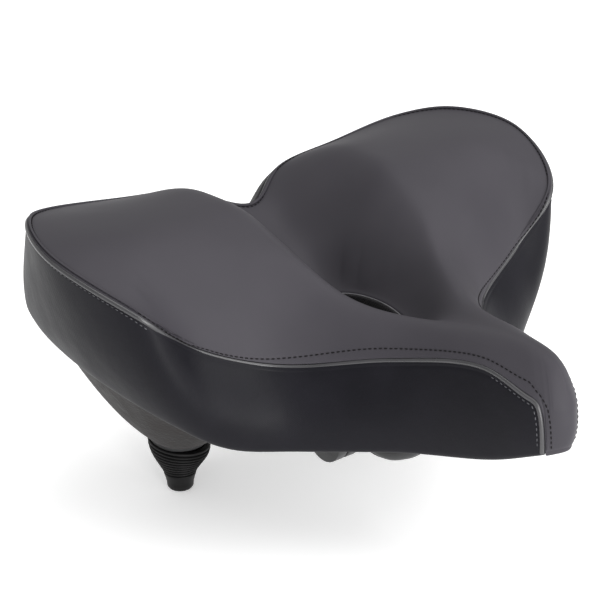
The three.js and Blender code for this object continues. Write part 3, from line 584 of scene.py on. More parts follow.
def mix_colour(tree, share, first, second):
    node = tree.nodes.new("ShaderNodeMix")
    node.data_type = "RGBA"
    tree.links.new(share, node.inputs[0])
    for socket, colour in ((node.inputs[6], first), (node.inputs[7], second)):
        if isinstance(colour, tuple):
            socket.default_value = (*colour, 1.0)
        else:
            tree.links.new(colour, socket)
    return node.outputs[2]


def between(tree, share, low, high):
    """A number that runs from low to high as share runs over the middle of its range."""
    node = tree.nodes.new("ShaderNodeMapRange")
    tree.links.new(share, node.inputs["Value"])
    for label, value in (("From Min", 0.3), ("From Max", 0.7), ("To Min", low), ("To Max", high)):
        node.inputs[label].default_value = value
    return node.outputs["Result"]


def make_finish(name, dark, light, rough, grain=1500.0, depth=0.02, patches=30.0,
                specular=0.5, metallic=0.0, weave=None, ripple=None, wear=0.0,
                worn_colour=(0.3, 0.3, 0.3), sheen=0.0):
    """dark and light are the two tones, rough its roughness range, depth the bump in mm."""
    material = bpy.data.materials.new(name)
    material.use_nodes = True
    tree = material.node_tree
    shader = tree.nodes["Principled BSDF"]
    shader.inputs["Specular IOR Level"].default_value = specular
    shader.inputs["Metallic"].default_value = metallic
    shader.inputs["Sheen Weight"].default_value = sheen
    fine = placed(tree, grain_group, grain_per_metre=grain, patches_per_metre=patches)
    colour = mix_colour(tree, between(tree, fine.outputs["Patches"], 0.0, 1.0), dark, light)
    if wear:
        worn = placed(tree, wear_group, amount=wear).outputs["Worn"]
        colour = mix_colour(tree, worn, colour, worn_colour)
    tree.links.new(colour, shader.inputs["Base Color"])
    tree.links.new(between(tree, fine.outputs["Patches"], *rough), shader.inputs["Roughness"])
    normal = bumped(tree, fine.outputs["Height"], depth)
    if weave:
        threads = placed(tree, weave_group, threads_per_metre=weave[0])
        normal = bumped(tree, threads.outputs["Height"], weave[1], normal)
    if ripple:
        place = tree.nodes.new("ShaderNodeTexCoord").outputs["Object"]
        waves = texture(tree, "ShaderNodeTexNoise", place, ripple[0], detail=2.0, roughness=0.5)
        normal = bumped(tree, waves.outputs[0], ripple[1], normal)
    tree.links.new(normal, shader.inputs["Normal"])
    return material


def bumped(tree, height, depth, below=None):
    """A bump of depth millimetres, on top of another normal."""
    node = tree.nodes.new("ShaderNodeBump")
    node.inputs["Strength"].default_value = 1.0
    node.inputs["Distance"].default_value = depth * MM
    tree.links.new(height, node.inputs["Height"])
    if below:
        tree.links.new(below, node.inputs["Normal"])
    return node.outputs["Normal"]


# %% [markdown]
# The cover is a matte grey vinyl with a grain so fine that it only softens the light. The
# sides are a black satin vinyl with a pressed weave and faint ripples, which break up its
# highlights. The pan is a brown-black plastic with a coarse pebble. The boots are satin
# rubber, and the hardware is black-coated or zinc-plated steel.

# %% The saddle's finishes
cover_vinyl = make_finish("cover_vinyl", (0.036, 0.0335, 0.0400), (0.043, 0.0400, 0.0470),
                          (0.52, 0.62),
                          grain=2600.0, depth=0.015, patches=22.0, specular=0.20)
panel_vinyl = make_finish("panel_vinyl", (0.0042, 0.0040, 0.0062), (0.0066, 0.0062, 0.0092),
                          (0.42, 0.52),
                          grain=1900.0, depth=0.035, patches=35.0, specular=0.13,
                          weave=(1500.0, 0.012), ripple=(75.0, 0.30))
# The bead is the panel's own black vinyl. Its lighter colour here is a painted highlight along the
# bead's crown.
bead_vinyl_painted_highlight = make_finish("bead_vinyl_painted_highlight", (0.020, 0.0195, 0.022), (0.030, 0.029, 0.032), (0.24, 0.34),
                         grain=2200.0, depth=0.015, patches=60.0, specular=0.7)
dark_thread = make_finish("dark_thread", (0.003, 0.0025, 0.003), (0.006, 0.005, 0.006), (0.6, 0.7),
                          grain=5000.0, depth=0.05, patches=300.0, specular=0.15)
# The panel's stitches are black thread. This grey is a painted glint along them.
black_thread_painted_glint = make_finish("black_thread_painted_glint", (0.035, 0.035, 0.04), (0.08, 0.08, 0.09), (0.4, 0.5),
                          grain=5000.0, depth=0.05, patches=300.0)
lining_cloth = make_finish("lining_cloth", (0.006, 0.005, 0.006), (0.011, 0.010, 0.012),
                           (0.8, 0.95),
                           grain=1800.0, depth=0.08, patches=90.0, specular=0.2,
                           weave=(1200.0, 0.10), sheen=0.1)
# A thin pale cord at the relief opening. Its pale colour is a painted highlight on the cover's
# rolled rim.
rim_painted_highlight = make_finish("rim_painted_highlight", (0.10, 0.098, 0.105), (0.17, 0.165, 0.175), (0.45, 0.55),
                        grain=3500.0, depth=0.03, patches=200.0)
pad_foam = make_finish("pad_foam", (0.20, 0.185, 0.16), (0.31, 0.29, 0.25), (0.9, 1.0),
                       grain=900.0, depth=0.5, patches=80.0, specular=0.1)
moulded_pan = make_finish("moulded_pan", (0.008, 0.0065, 0.0065), (0.017, 0.0145, 0.014),
                          (0.55, 0.72),
                          grain=750.0, depth=0.30, patches=120.0, specular=0.35)
boot_rubber = make_finish("boot_rubber", (0.002, 0.002, 0.0022), (0.004, 0.0038, 0.004),
                          (0.40, 0.55),
                          grain=1600.0, depth=0.03, patches=110.0, specular=0.22)
black_plastic = make_finish("black_plastic", (0.009, 0.009, 0.010), (0.015, 0.015, 0.016),
                            (0.45, 0.6),
                            grain=1400.0, depth=0.06, patches=100.0)
coated_steel = make_finish("coated_steel", (0.010, 0.010, 0.011), (0.017, 0.017, 0.018),
                           (0.32, 0.46),
                           grain=2100.0, depth=0.05, patches=140.0, wear=0.8,
                           worn_colour=(0.16, 0.16, 0.165))
spring_steel = make_finish("spring_steel", (0.05, 0.05, 0.053), (0.10, 0.10, 0.105), (0.28, 0.42),
                           grain=2600.0, depth=0.03, patches=170.0, metallic=1.0)
zinc_steel = make_finish("zinc_steel", (0.36, 0.37, 0.39), (0.50, 0.51, 0.53), (0.26, 0.40),
                         grain=2400.0, depth=0.02, patches=200.0, metallic=1.0, wear=0.4,
                         worn_colour=(0.72, 0.72, 0.74))
print("finishes:", len(bpy.data.materials))


# %% Finish a piece
def dressed(obj, material, slot, body, *nodes):
    """Gives a piece its finish and its body, and lets it stand for CAD nodes."""
    obj.data.materials.clear()
    obj.data.materials.append(material)
    if nodes:
        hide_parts(*nodes)
    if body:
        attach(obj, body)
    print(obj.name, len(obj.data.polygons), "faces")
    return obj


# %% [markdown]
# ## The grey top cover
# The cover's rows are spaced in millimetres from the seam: close together where the edge
# rolls under and where the stitches pull a shallow channel, wider over the foam. Ahead of the
# waist the seam drops down the corner of the nose, so there the cover's edge folds under the
# hem instead. Round the relief opening a second strip rolls the edge down into the hole.

# %% Distances along the skin
PER_STATION = 6
EDGE_ROWS = [0, 0.7, 1.5, 2.1, 2.6, 3.1, 3.9, 5.2]
STITCH_AT = 2.6
CHANNEL_DEPTH = 0.38
OPEN_ROWS = 34


def side_height(q):
    return np.linalg.norm(on_loop(shoulder_loop, q) - on_loop(hem_loop, q), axis=-1)


def level_at(q, distance):
    """v at a distance in metres from the seam, up the side and then over the top."""
    level = seam_level(q)
    to_shoulder = (1 - level) * side_height(q)
    shoulder = on_loop(shoulder_loop, q)
    x, y = inner_end(q)
    across = np.hypot(shoulder[..., 0] - x, shoulder[..., 1] - y)
    below = level + distance / side_height(q)
    return np.where(distance <= to_shoulder, below, 1 + (distance - to_shoulder) / across)


def cover_length(q):
    shoulder = on_loop(shoulder_loop, q)
    x, y = inner_end(q)
    across = np.hypot(shoulder[..., 0] - x, shoulder[..., 1] - y)
    return (1 - seam_level(q)) * side_height(q) + across


def seam_frame(q):
    """Seam points with their tangent, their outward normal and the direction up the cover."""
    seam = skin(q, seam_level(q))
    tangent = skin(q + 0.02, seam_level(q + 0.02)) - skin(q - 0.02, seam_level(q - 0.02))
    tangent /= np.linalg.norm(tangent, axis=-1, keepdims=True)
    normal = outward(q)
    normal -= tangent * (normal * tangent).sum(-1, keepdims=True)
    normal /= np.linalg.norm(normal, axis=-1, keepdims=True)
    return seam, tangent, normal, np.cross(normal, tangent)


def channel(distance):
    """Depth of the shallow channel that a row of stitches pulls."""
    return CHANNEL_DEPTH * MM * np.exp(-(((distance / MM - STITCH_AT) / 0.5) ** 2))


print("seam length, mm:", round(np.linalg.norm(np.diff(
    seam_frame(np.linspace(-11.7, 11.7, 500))[0], axis=0), axis=1).sum() / MM))

# %% Lay out the cover
# The seam turns down steeply at the nose, so a few more columns follow it there.
extra_at_corner = np.array([11.58, 11.75, 11.79, 11.87, 11.92])
columns = np.unique(np.concatenate(
    [np.arange(LAP * PER_STATION) / PER_STATION, extra_at_corner, LAP - extra_at_corner]))


def cover_grid():
    q = columns[:, None]
    length = cover_length(columns)[:, None]
    near = np.array(EDGE_ROWS) * MM
    share = np.linspace(0, 1, OPEN_ROWS + 1)[1:]
    close = np.broadcast_to(near, (len(columns), len(near)))
    distance = np.concatenate([close, near[-1] + share * (length - near[-1])], axis=1)
    points = skin(q, np.minimum(level_at(q, distance), 2))
    inwards = -outward(q)
    over = ramp(level_at(q, distance), 0.9, 1.2)[..., None]
    sink = inwards * (1 - over) + np.array([0, 0, -1.0]) * over
    return points + sink * channel(distance)[..., None]


def edge_fold():
    """Rows that roll under the cover's edge: into the seam, or under the hem at the nose."""
    seam, _, normal, up = seam_frame(columns)
    down = np.array([0, 0, -1.0])
    at_hem = ramp(half_station(columns), 11.6, 11.88)[:, None]
    into_seam = [(0.5, 0.25), (1.3, 0.45), (2.3, 0.2)]
    under_hem = [(1.0, 0.1), (2.6, -0.1), (6.5, -0.7)]
    rows = []
    for (deep, drop), (inwards, fall) in zip(into_seam, under_hem):
        rolled = seam - normal * deep * MM - up * drop * MM
        folded = seam - normal * inwards * MM + down * fall * MM
        rows.append(rolled * (1 - at_hem) + folded * at_hem)
    return np.stack(rows[::-1], axis=1)


def relief_ring():
    """Stations round the relief opening, once round."""
    k = half_station(columns)
    right = columns[(columns <= SPINE_FROM)]
    left = columns[(columns > TIP) & (k < SPINE_FROM)]
    return np.concatenate([right, left])


def relief_edge(q, inwards, down):
    """Points that far inside and below the edge of the opening, in metres."""
    x, y = inner_end(q)
    toward = np.stack([(RELIEF_CENTRE_X - x) * (RELIEF_WIDTH / RELIEF_LENGTH) ** 2, -y], axis=-1)
    toward /= np.maximum(np.linalg.norm(toward, axis=-1, keepdims=True), 1e-9)
    z = top_height(x, y)
    return np.stack([x + toward[:, 0] * inwards, y + toward[:, 1] * inwards, z - down], axis=-1)


RELIEF_ROLL = [(0, 0), (0.8, 0.3), (1.4, 1.1), (1.6, 2.3), (1.6, 4.0)]
ring_q = relief_ring()
cover = make_sheet("cover", np.concatenate([edge_fold(), cover_grid()], axis=1), ring=True)
roll = np.stack([relief_edge(ring_q, a * MM, b * MM) for a, b in RELIEF_ROLL], axis=1)
joined(cover, make_sheet("cover_roll", roll, ring=True))
print("cover points:", len(cover.data.vertices))


# %% [markdown]
# The flat grid becomes cloth in three steps. It swells between its seams, one subdivision
# smooths it, and Solidify gives it its thickness inwards, so the outside stays where it is.

# %% Swell, smooth and thicken the cover
def merge_points(obj, distance=2e-5):
    only(obj)
    bpy.ops.object.mode_set(mode="EDIT")
    bpy.ops.mesh.select_all(action="SELECT")
    bpy.ops.mesh.remove_doubles(threshold=distance)
    bpy.ops.object.mode_set(mode="OBJECT")
    return obj


def near_line(points, line, reach):
    """A mask of the points within reach of a line of points."""
    from_line = np.array([np.min(np.linalg.norm(line - p, axis=1)) for p in points])
    return from_line < reach


merge_points(cover)
seam_line = seam_frame(np.linspace(0, LAP, 900))[0]
relief_line = relief_edge(np.linspace(0, 8.99, 200), 0, 0)
relief_line = np.concatenate([relief_line, relief_line * [1, -1, 1]])
cover_points = points_of(cover)
sewn = near_line(cover_points, seam_line, 3.6 * MM)
folded_under = near_line(cover_points, on_loop(hem_loop, np.linspace(11.3, 14.7, 200)), 8 * MM)
held = sewn | folded_under | near_line(cover_points, relief_line, 4.6 * MM)
swell(cover, held, pressure=4.0, cap=1.1 * MM)
subdivide_smoothly(cover)
apply_modifier(cover, "SOLIDIFY", thickness=1.4 * MM, offset=-1)
cover_bvh = BVHTree.FromPolygons(
    [v.co.copy() for v in cover.data.vertices], [list(p.vertices) for p in cover.data.polygons]
)
smooth(cover)
dressed(cover, cover_vinyl, "cover_vinyl", "seat", "top_cover")

# %% [markdown]
# ## The black side panels
# Each panel hangs from the seam to the hem, then folds under and is glued to the pan. It is
# cut in two pieces that meet in the rear notch, and each runs out in the nose seam. Its top
# edge tucks in behind a rolled bead, and one row of stitches runs below the bead.

# %% Lay out and swell a panel
PANEL_END = 11.84
PANEL_COLUMNS = 84
BEAD_DROP = 1.35
PANEL_EDGE_ROWS = [0, 0.8, 1.5, 2.0, 2.5, 3.2, 4.4]
PANEL_OPEN_ROWS = 17
HEM_RADIUS = 1.5
HEM_FOLD = [(7.0, 0.9), (4.4, 0.35), (2.4, 0.05), (0.9, 0.2)]
TOP_TUCK = [(0.8, 0.3), (2.0, 0.5)]
PANEL_START = 0.02
LOWER_STITCH_AT = 2.15


def panel_grid(side):
    share = 1 - (1 - np.linspace(0, 1, PANEL_COLUMNS + 1)) ** 1.25
    k = PANEL_START + (PANEL_END - PANEL_START) * share
    q = k if side < 0 else LAP - k[::-1]
    height = side_height(q)[:, None]
    level = seam_level(q)[:, None]
    top = level - BEAD_DROP * MM / height
    bottom = HEM_RADIUS * MM / height
    room = (top - bottom) * height
    crowded = room * np.linspace(0, 0.6, len(PANEL_EDGE_ROWS))
    near = np.minimum(np.array(PANEL_EDGE_ROWS) * MM, crowded)
    share = np.linspace(0, 1, PANEL_OPEN_ROWS + 1)[1:]
    rest = near[:, -1:] + share * (room - near[:, -1:])
    distance = np.concatenate([near, rest], axis=1)
    face = skin(q[:, None], top - distance / height)
    out = outward(q)[:, None, :]
    dip = 0.25 * MM * np.exp(-(((distance / MM - 2.1) / 0.45) ** 2))
    face = face - out * dip[..., None]
    hem = on_loop(hem_loop, q)

    def rolled_in(start, steps):
        rows = [start - out[:, 0] * a * MM + np.array([0, 0, b * MM]) for a, b in steps]
        return np.stack(rows, axis=1)

    return np.concatenate(
        [rolled_in(hem, HEM_FOLD), face[:, ::-1], rolled_in(face[:, 0], TOP_TUCK)], axis=1
    )


def side_panel(side, hand):
    panel = make_sheet(f"panel_{hand}", panel_grid(side))
    rows = len(HEM_FOLD) + len(PANEL_EDGE_ROWS) + PANEL_OPEN_ROWS + len(TOP_TUCK)
    row = np.arange(len(panel.data.vertices)) % rows
    column = np.arange(len(panel.data.vertices)) // rows
    held = (row <= len(HEM_FOLD)) | (row >= rows - 8) | (column == 0) | (column == PANEL_COLUMNS)
    swell(panel, held, pressure=3.0, cap=1.2 * MM)
    subdivide_smoothly(panel)
    apply_modifier(panel, "SOLIDIFY", thickness=1.2 * MM, offset=-1)
    smooth(panel)
    dressed(panel, panel_vinyl, "panel_vinyl", "seat", f"side_panel_{hand}")
    return panel


panels = {hand: side_panel(side, hand) for side, hand in ((-1, "right"), (1, "left"))}

# %% [markdown]
# ## Bead and stitches
# The panel's rolled edge shows as a bead below a narrow dark groove, with a bright line along
#  its crown: its vinyl is painted several times lighter than the panel's, a painted highlight
#  there. It is swept along the seam. A stitch is one small oval, copied along two rows: one
#  through the cover above the seam, and one through the panel below the bead.


# %% Sweep a round line
def swept(name, path, radius, ring=False, sides=5):
    """A round cord of that radius through the points of path, as a closed mesh."""
    curve = bpy.data.curves.new(name, "CURVE")
    curve.dimensions = "3D"
    curve.bevel_depth = radius
    curve.bevel_resolution = sides
    curve.use_fill_caps = not ring
    spline = curve.splines.new("POLY")
    spline.points.add(len(path) - 1)
    for point, place in zip(spline.points, path):
        point.co = (*place, 1)
    spline.use_cyclic_u = ring
    obj = only(linked(name, curve))
    bpy.ops.object.convert(target="MESH")
    bpy.ops.object.shade_smooth()
    return merge_and_face_out(obj, 1e-6)


BEAD_RADIUS = 1.15 * MM
BEAD_SINK = 0.42 * MM
BEAD_END = 11.86


def closer_at_ends(end, count):
    """Stations from -end to end, crowded where the seam turns down at the nose."""
    return end * np.sin(np.linspace(-np.pi / 2, np.pi / 2, count))


bead_q = closer_at_ends(BEAD_END, 900)
seam, tangent, normal, up = seam_frame(bead_q)
bead_path = seam - up * BEAD_DROP * MM - normal * BEAD_SINK
# The bead's lighter vinyl paints the highlight along its crown.
bead = dressed(swept("seam_bead", bead_path, BEAD_RADIUS), bead_vinyl_painted_highlight, "panel_vinyl", "seat")


# %% Model one stitch and sew the rows
STITCH_PITCH = 2.5 * MM
STITCH_LENGTH = 1.75 * MM
STITCH_WIDTH = 0.62 * MM
STITCH_END = 11.83


def one_stitch():
    bpy.ops.object.select_all(action="DESELECT")
    bpy.ops.mesh.primitive_uv_sphere_add(segments=8, ring_count=5, radius=0.5)
    stitch = bpy.context.active_object
    stitch.scale = (STITCH_WIDTH, STITCH_WIDTH, STITCH_LENGTH)
    settle(stitch)
    points = points_of(stitch)
    faces = [list(p.vertices) for p in stitch.data.polygons]
    bpy.data.objects.remove(stitch)
    return points[:, [2, 0, 1]], faces


def evenly_along(path, pitch):
    """Points and directions spaced at pitch along a line of points."""
    step = np.linalg.norm(np.diff(path, axis=0), axis=1)
    run = np.r_[0, np.cumsum(step)]
    stops = np.arange(pitch / 2, run[-1], pitch)
    places = np.stack([np.interp(stops, run, path[:, i]) for i in range(3)], axis=1)
    ahead = np.stack([np.interp(stops + pitch / 2, run, path[:, i]) for i in range(3)], axis=1)
    along = ahead - places
    return places, along / np.maximum(np.linalg.norm(along, axis=1, keepdims=True), 1e-9)


def sew(name, path, surface, proud, size=1.0):
    """A row of stitches laid on a surface along path; proud is how far they stand up."""
    shape, shape_faces = one_stitch()
    points, faces = [], []
    for place, along in zip(*evenly_along(path, STITCH_PITCH)):
        on, out, _, _ = surface.find_nearest(Vector(place))
        out = np.array(out)
        along = along - out * (along @ out)
        along /= np.linalg.norm(along)
        axes = np.stack([along, np.cross(out, along), out])
        faces += [[len(points) + i for i in f] for f in shape_faces]
        points += list(np.array(on) + out * proud + (shape * size) @ axes)
    mesh = bpy.data.meshes.new(name)
    mesh.from_pydata([tuple(p) for p in points], [], faces)
    return smooth(linked(name, mesh))


def surface_of(*objects):
    """A lookup of nearest points over several pieces."""
    points, faces = [], []
    for obj in objects:
        faces += [[len(points) + i for i in p.vertices] for p in obj.data.polygons]
        points += [v.co.copy() for v in obj.data.vertices]
    return BVHTree.FromPolygons(points, faces)


upper_q = closer_at_ends(STITCH_END, 1400)
seam, tangent, normal, up = seam_frame(upper_q)
over_top = skin(upper_q, level_at(upper_q, STITCH_AT * MM))
dropping = ramp(half_station(upper_q), 10.9, 11.3)[:, None]
upper_path = over_top * (1 - dropping) + (seam + up * STITCH_AT * MM) * dropping
dressed(sew("cover_stitches", upper_path, cover_bvh, 0.12 * MM),
        dark_thread, "panel_vinyl", "seat")
lower_path = seam - up * (BEAD_DROP + LOWER_STITCH_AT) * MM
panel_bvh = surface_of(*panels.values())
# The lower row takes the grey thread: a painted glint on black thread.
dressed(sew("panel_stitches", lower_path, panel_bvh, 0.10 * MM, size=0.85),
        black_thread_painted_glint, "panel_vinyl", "seat")

# %% [markdown]
# ## The relief opening
# The opening lets air through and takes pressure off the rider. A thin pale cord just inside
#  the cover's rolled edge is a painted highlight along that edge, and a dark cloth lining runs
#  from there down to the pan. Both follow the same ellipse as the cover's rolled edge.

# %% Paint the rim's highlight and line the opening
RIM_HIGHLIGHT_RADIUS = 0.38 * MM
RIM_HIGHLIGHT_INSET = 1.55 * MM
once_round = [np.linspace(0, SPINE_FROM, 120), np.linspace(LAP - SPINE_FROM, LAP, 120)[1:-1]]
# A pale cord swept just inside the rim, as a painted highlight along the cover's rolled edge.
rim_highlight_path = relief_edge(np.concatenate(once_round), RIM_HIGHLIGHT_INSET, RIM_HIGHLIGHT_INSET)
rim_highlight_cord = swept("relief_rim_highlight", rim_highlight_path, RIM_HIGHLIGHT_RADIUS, ring=True, sides=3)
dressed(rim_highlight_cord, rim_painted_highlight, "cover_vinyl", "seat")

PAN_INSET = 5.8 * MM
PAN_ROOF = [(-1, 28), (-0.5, 28), (-0.2, 30), (0.3, 30), (0.5, 38), (1, 39)]
PAN_THICKNESS = 3.4 * MM
KEEL_HALF_WIDTH = 31 * MM
spring_low, spring_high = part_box("spring_seat_left")
SPRING_X = (spring_low.x + spring_high.x) / 2
SPRING_Y = (spring_low.y + spring_high.y) / 2
SPRING_SEAT_TOP = spring_high.z + 0.3 * MM


def pan_floor(x, y):
    """Height of the pan's underside: a roof over the rails, and a keel down to each spring."""
    along = (x - MIDDLE_X) / (SEAT_LENGTH / 2)
    roof = RAIL_HEIGHT + through(PAN_ROOF, along) * MM
    sideways = ramp(np.abs(y), KEEL_HALF_WIDTH, SPRING_Y - 13 * MM)
    lengthways = 1 - ramp(x, SPRING_X + 12 * MM, SPRING_X + 88 * MM)
    return roof + (SPRING_SEAT_TOP - roof) * sideways * lengthways


def lining():
    x, y = inner_end(ring_q)
    bottom = pan_floor(x, y) - 0.8 * MM
    edge = relief_edge(ring_q, 1.75 * MM, 1.9 * MM)
    share = np.linspace(0, 1, 9)
    heights = [edge[:, 2] + (bottom - edge[:, 2]) * s for s in share]
    rows = [np.stack([edge[:, 0], edge[:, 1], z], axis=1) for z in heights]
    cloth = make_sheet("relief_lining", np.stack(rows[::-1], axis=1), ring=True)
    merge_points(cloth)
    subdivide_smoothly(cloth)
    apply_modifier(cloth, "SOLIDIFY", thickness=0.9 * MM, offset=-1)
    smooth(cloth)
    return dressed(cloth, lining_cloth, "lining_cloth", "seat", "relief_liner")


lining()


# %% [markdown]
# ## The foam
# The foam fills the room between the cover, the panels and the pan. It hardly shows, so it
# isn't modelled again: a copy of the working shape is merged, smoothed and given a foam finish.

# %% The foam between the skins
def copy_of(node, name):
    """A merged copy of a CAD node, as a new piece."""
    return merge_points(linked(name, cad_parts[node].data.copy()), 1e-6)


foam = copy_of("foam_pad", "foam_core")
smooth(foam)
dressed(foam, pad_foam, "pad_foam", "seat", "foam_pad")

# %% [markdown]
# ## The moulded pan
# The pan is one moulding: a rim inside the hem, a keel on each side that reaches down to its
# spring, and a channel between them for the rails. The keel's floor rises a little towards
# the outer rear side of the spring. Cross ribs stiffen the channel. The pebble texture is in
# its finish.

# %% Mould the pan
PAN_ROWS = 34
RIM_LIFT = 1.3 * MM
HULL_WIDTHS = [16, 30, 49, 54, 54, 57, 60, 34, 26, 11, 4, 3, 3, 3]
HULL_MIX = [0, 0, 0.5, 1, 1, 1, 0.7, 0.2, 0, 0, 0, 0, 0, 0]
LEAN_TOWARDS = (-0.64, 0.77)
HULL_LEAN = 0.1
HULL_LEVEL = 4 * MM


def pan_grid():
    rim = on_loop(hem_loop, columns) - outward(columns) * PAN_INSET
    x_end, y_end = inner_end(columns)
    share = np.linspace(0, 1, PAN_ROWS)[None, :]
    x = rim[:, 0, None] + (x_end - rim[:, 0])[:, None] * share
    y = rim[:, 1, None] + (y_end - rim[:, 1])[:, None] * share
    wall = by_station([w * MM for w in HULL_WIDTHS], columns)[:, None]
    distance = np.hypot(x - rim[:, 0, None], y - rim[:, 1, None])
    start = rim[:, 2, None] + RIM_LIFT * (1 - eased(distance / (6 * MM)))
    share_in = np.clip(distance / wall, 0, 1)
    hull = by_station(HULL_MIX, columns)[:, None]
    fall = (1 - hull) * eased(share_in) + hull * np.sin(np.pi / 2 * share_in)
    reach = (x - SPRING_X) * LEAN_TOWARDS[0] + (np.abs(y) - SPRING_Y) * LEAN_TOWARDS[1]
    floor = pan_floor(x, y) + HULL_LEAN * np.maximum(reach - HULL_LEVEL, 0)
    z = start + (floor - start) * fall
    return np.stack([x, y, z], axis=-1)


pan = make_sheet("pan", pan_grid()[:, ::-1], ring=True)
merge_points(pan)
subdivide_smoothly(pan)
apply_modifier(pan, "SOLIDIFY", thickness=PAN_THICKNESS, offset=-1)
smooth(pan)
dressed(pan, moulded_pan, "moulded_pan", "seat", "seat_pan")
pan_bvh = surface_of(pan)


# %% [markdown]
# The foam's copy was shaped for the working pan. Where the pan above is a little higher, a
# foam point could poke through its underside, so a ray from below finds the pan's surface
# under each point, and any point within the pan's wall is lifted on to it. This doesn't catch all
# of it: some foam still hangs below the pan where x is -109 to -75 mm, 23 to 40 mm either side.

# %% Seat the foam on the pan
raised = 0
for vertex in foam.data.vertices:
    below = pan_bvh.ray_cast(Vector((vertex.co.x, vertex.co.y, -0.2)), Vector((0, 0, 1)))[0]
    if below and vertex.co.z < below.z + PAN_THICKNESS:
        vertex.co.z = below.z + PAN_THICKNESS
        raised += 1
foam.data.update()
print("foam points raised on to the pan:", raised)


# %% [markdown]
# A moulded pan has thin cross ribs where it would flex. Each starts as a flat grid, is bent to
# the channel's roof, thickened and bevelled. One helper makes all six.

# %% Ribs in the rail channel
def rib(name, x, half_width, depth, thick=2.2 * MM):
    """A cross rib moulded on the channel's roof, arched up at its lower edge."""
    bpy.ops.object.select_all(action="DESELECT")
    bpy.ops.mesh.primitive_grid_add(x_subdivisions=24, y_subdivisions=3, size=1)
    piece = bpy.context.active_object
    piece.name = name
    grid = points_of(piece)
    across = grid[:, 0] * 2 * half_width
    roof = pan_floor(np.full(len(grid), x), across)
    fade = 1 - np.abs(grid[:, 0] * 2) ** 4
    drop = (0.5 - grid[:, 1]) * depth * fade
    places = np.stack([np.full(len(grid), x - thick / 2), across, roof + 0.8 * MM - drop], axis=1)
    piece.data.vertices.foreach_set("co", places.ravel())
    apply_modifier(piece, "SOLIDIFY", thickness=thick, offset=1)
    merge_and_face_out(piece, 1e-7)
    apply_modifier(piece, "BEVEL", width=0.4 * MM, segments=2, limit_method="ANGLE")
    smooth_by_angle(piece, 50)
    return dressed(piece, moulded_pan, "moulded_pan", "seat")


for number, (x, half_width, depth) in enumerate(
    [(-128 * MM, 24 * MM, 4 * MM), (-112 * MM, 26 * MM, 4.5 * MM), (-96 * MM, 26 * MM, 4.5 * MM),
     (-80 * MM, 26 * MM, 4.5 * MM), (18 * MM, 15 * MM, 3.5 * MM), (34 * MM, 13 * MM, 3.5 * MM)]
):
    rib(f"pan_rib_{number + 1}", x, half_width, depth)

# %% [markdown]
# ## Springs and boots
# A boot is a rubber bellows, wide at the top and gathered to a plain cuff at the bottom. Its
#  section is drawn once as a line and spun round its axis, and its lip leans with the pan above
#  it. The rail's end enters the cuff. The coil spring inside is a rising spiral.

# %% Spin a boot
boot_low, boot_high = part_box("spring_boot_left")
BOOT_BOTTOM = boot_low.z
BOOT_TOP = boot_high.z
CUFF_RADIUS = 6.8 * MM
CUFF_HEIGHT = 9 * MM
LIP_RADIUS = 15.8 * MM
BOOT_WALL = 1.1 * MM
RINGS = 9
FOLD = 1.1 * MM
NECK_RADIUS = 8.3 * MM
LIP_LEAN = 0.14


def boot_radius(t):
    return NECK_RADIUS + (LIP_RADIUS - NECK_RADIUS) * np.sin(t * np.pi / 2) ** 1.35


def boot_section():
    """The boot's wall as (radius, height), from the middle of its floor and back inside."""
    bottom = [(0, 0), (CUFF_RADIUS - 2.2 * MM, 0), (CUFF_RADIUS - 0.8 * MM, 0.35 * MM),
              (CUFF_RADIUS - 0.1 * MM, 1.4 * MM), (CUFF_RADIUS + 0.1 * MM, 3.5 * MM),
              (CUFF_RADIUS + 0.6 * MM, 6 * MM), (NECK_RADIUS - 0.2 * MM, CUFF_HEIGHT - 0.8 * MM)]
    t = np.linspace(0, 1, 8 * RINGS + 1)
    bellows_height = BOOT_TOP - BOOT_BOTTOM - CUFF_HEIGHT
    ring = FOLD * (0.5 - 0.5 * np.cos(2 * np.pi * RINGS * t)) ** 1.6
    outer = list(zip(boot_radius(t) - ring, CUFF_HEIGHT + t * (bellows_height - 1.0 * MM)))
    height = BOOT_TOP - BOOT_BOTTOM
    lip = [(LIP_RADIUS, height - 0.5 * MM), (LIP_RADIUS - 0.35 * MM, height - 0.1 * MM),
           (LIP_RADIUS - 1 * MM, height), (LIP_RADIUS - 2.4 * MM, height),
           (LIP_RADIUS - 3 * MM, height - 0.6 * MM)]
    inner = [(boot_radius(s) - FOLD - BOOT_WALL, CUFF_HEIGHT + s * (bellows_height - 1.5 * MM))
             for s in (0.85, 0.6, 0.4, 0.2, 0.0)]
    floor = [(CUFF_RADIUS - BOOT_WALL, BOOT_WALL + 0.6 * MM), (0, BOOT_WALL + 0.6 * MM)]
    return [*bottom, *outer, *lip, *inner, *floor]


def spun(name, section, x, y, base, steps=56):
    """A (radius, height) line spun once round the upright axis at x, y."""
    mesh = bpy.data.meshes.new(name)
    points = [(x + r, y, base + h) for r, h in section]
    mesh.from_pydata(points, [(i, i + 1) for i in range(len(points) - 1)], [])
    obj = only(linked(name, mesh))
    bpy.ops.object.mode_set(mode="EDIT")
    bpy.ops.mesh.select_all(action="SELECT")
    bpy.ops.mesh.spin(steps=steps, angle=2 * math.pi, center=(x, y, 0), axis=(0, 0, 1))
    bpy.ops.mesh.select_all(action="SELECT")
    bpy.ops.mesh.remove_doubles(threshold=1e-6)
    bpy.ops.mesh.normals_make_consistent(inside=False)
    bpy.ops.object.mode_set(mode="OBJECT")
    return smooth_by_angle(obj, 60)


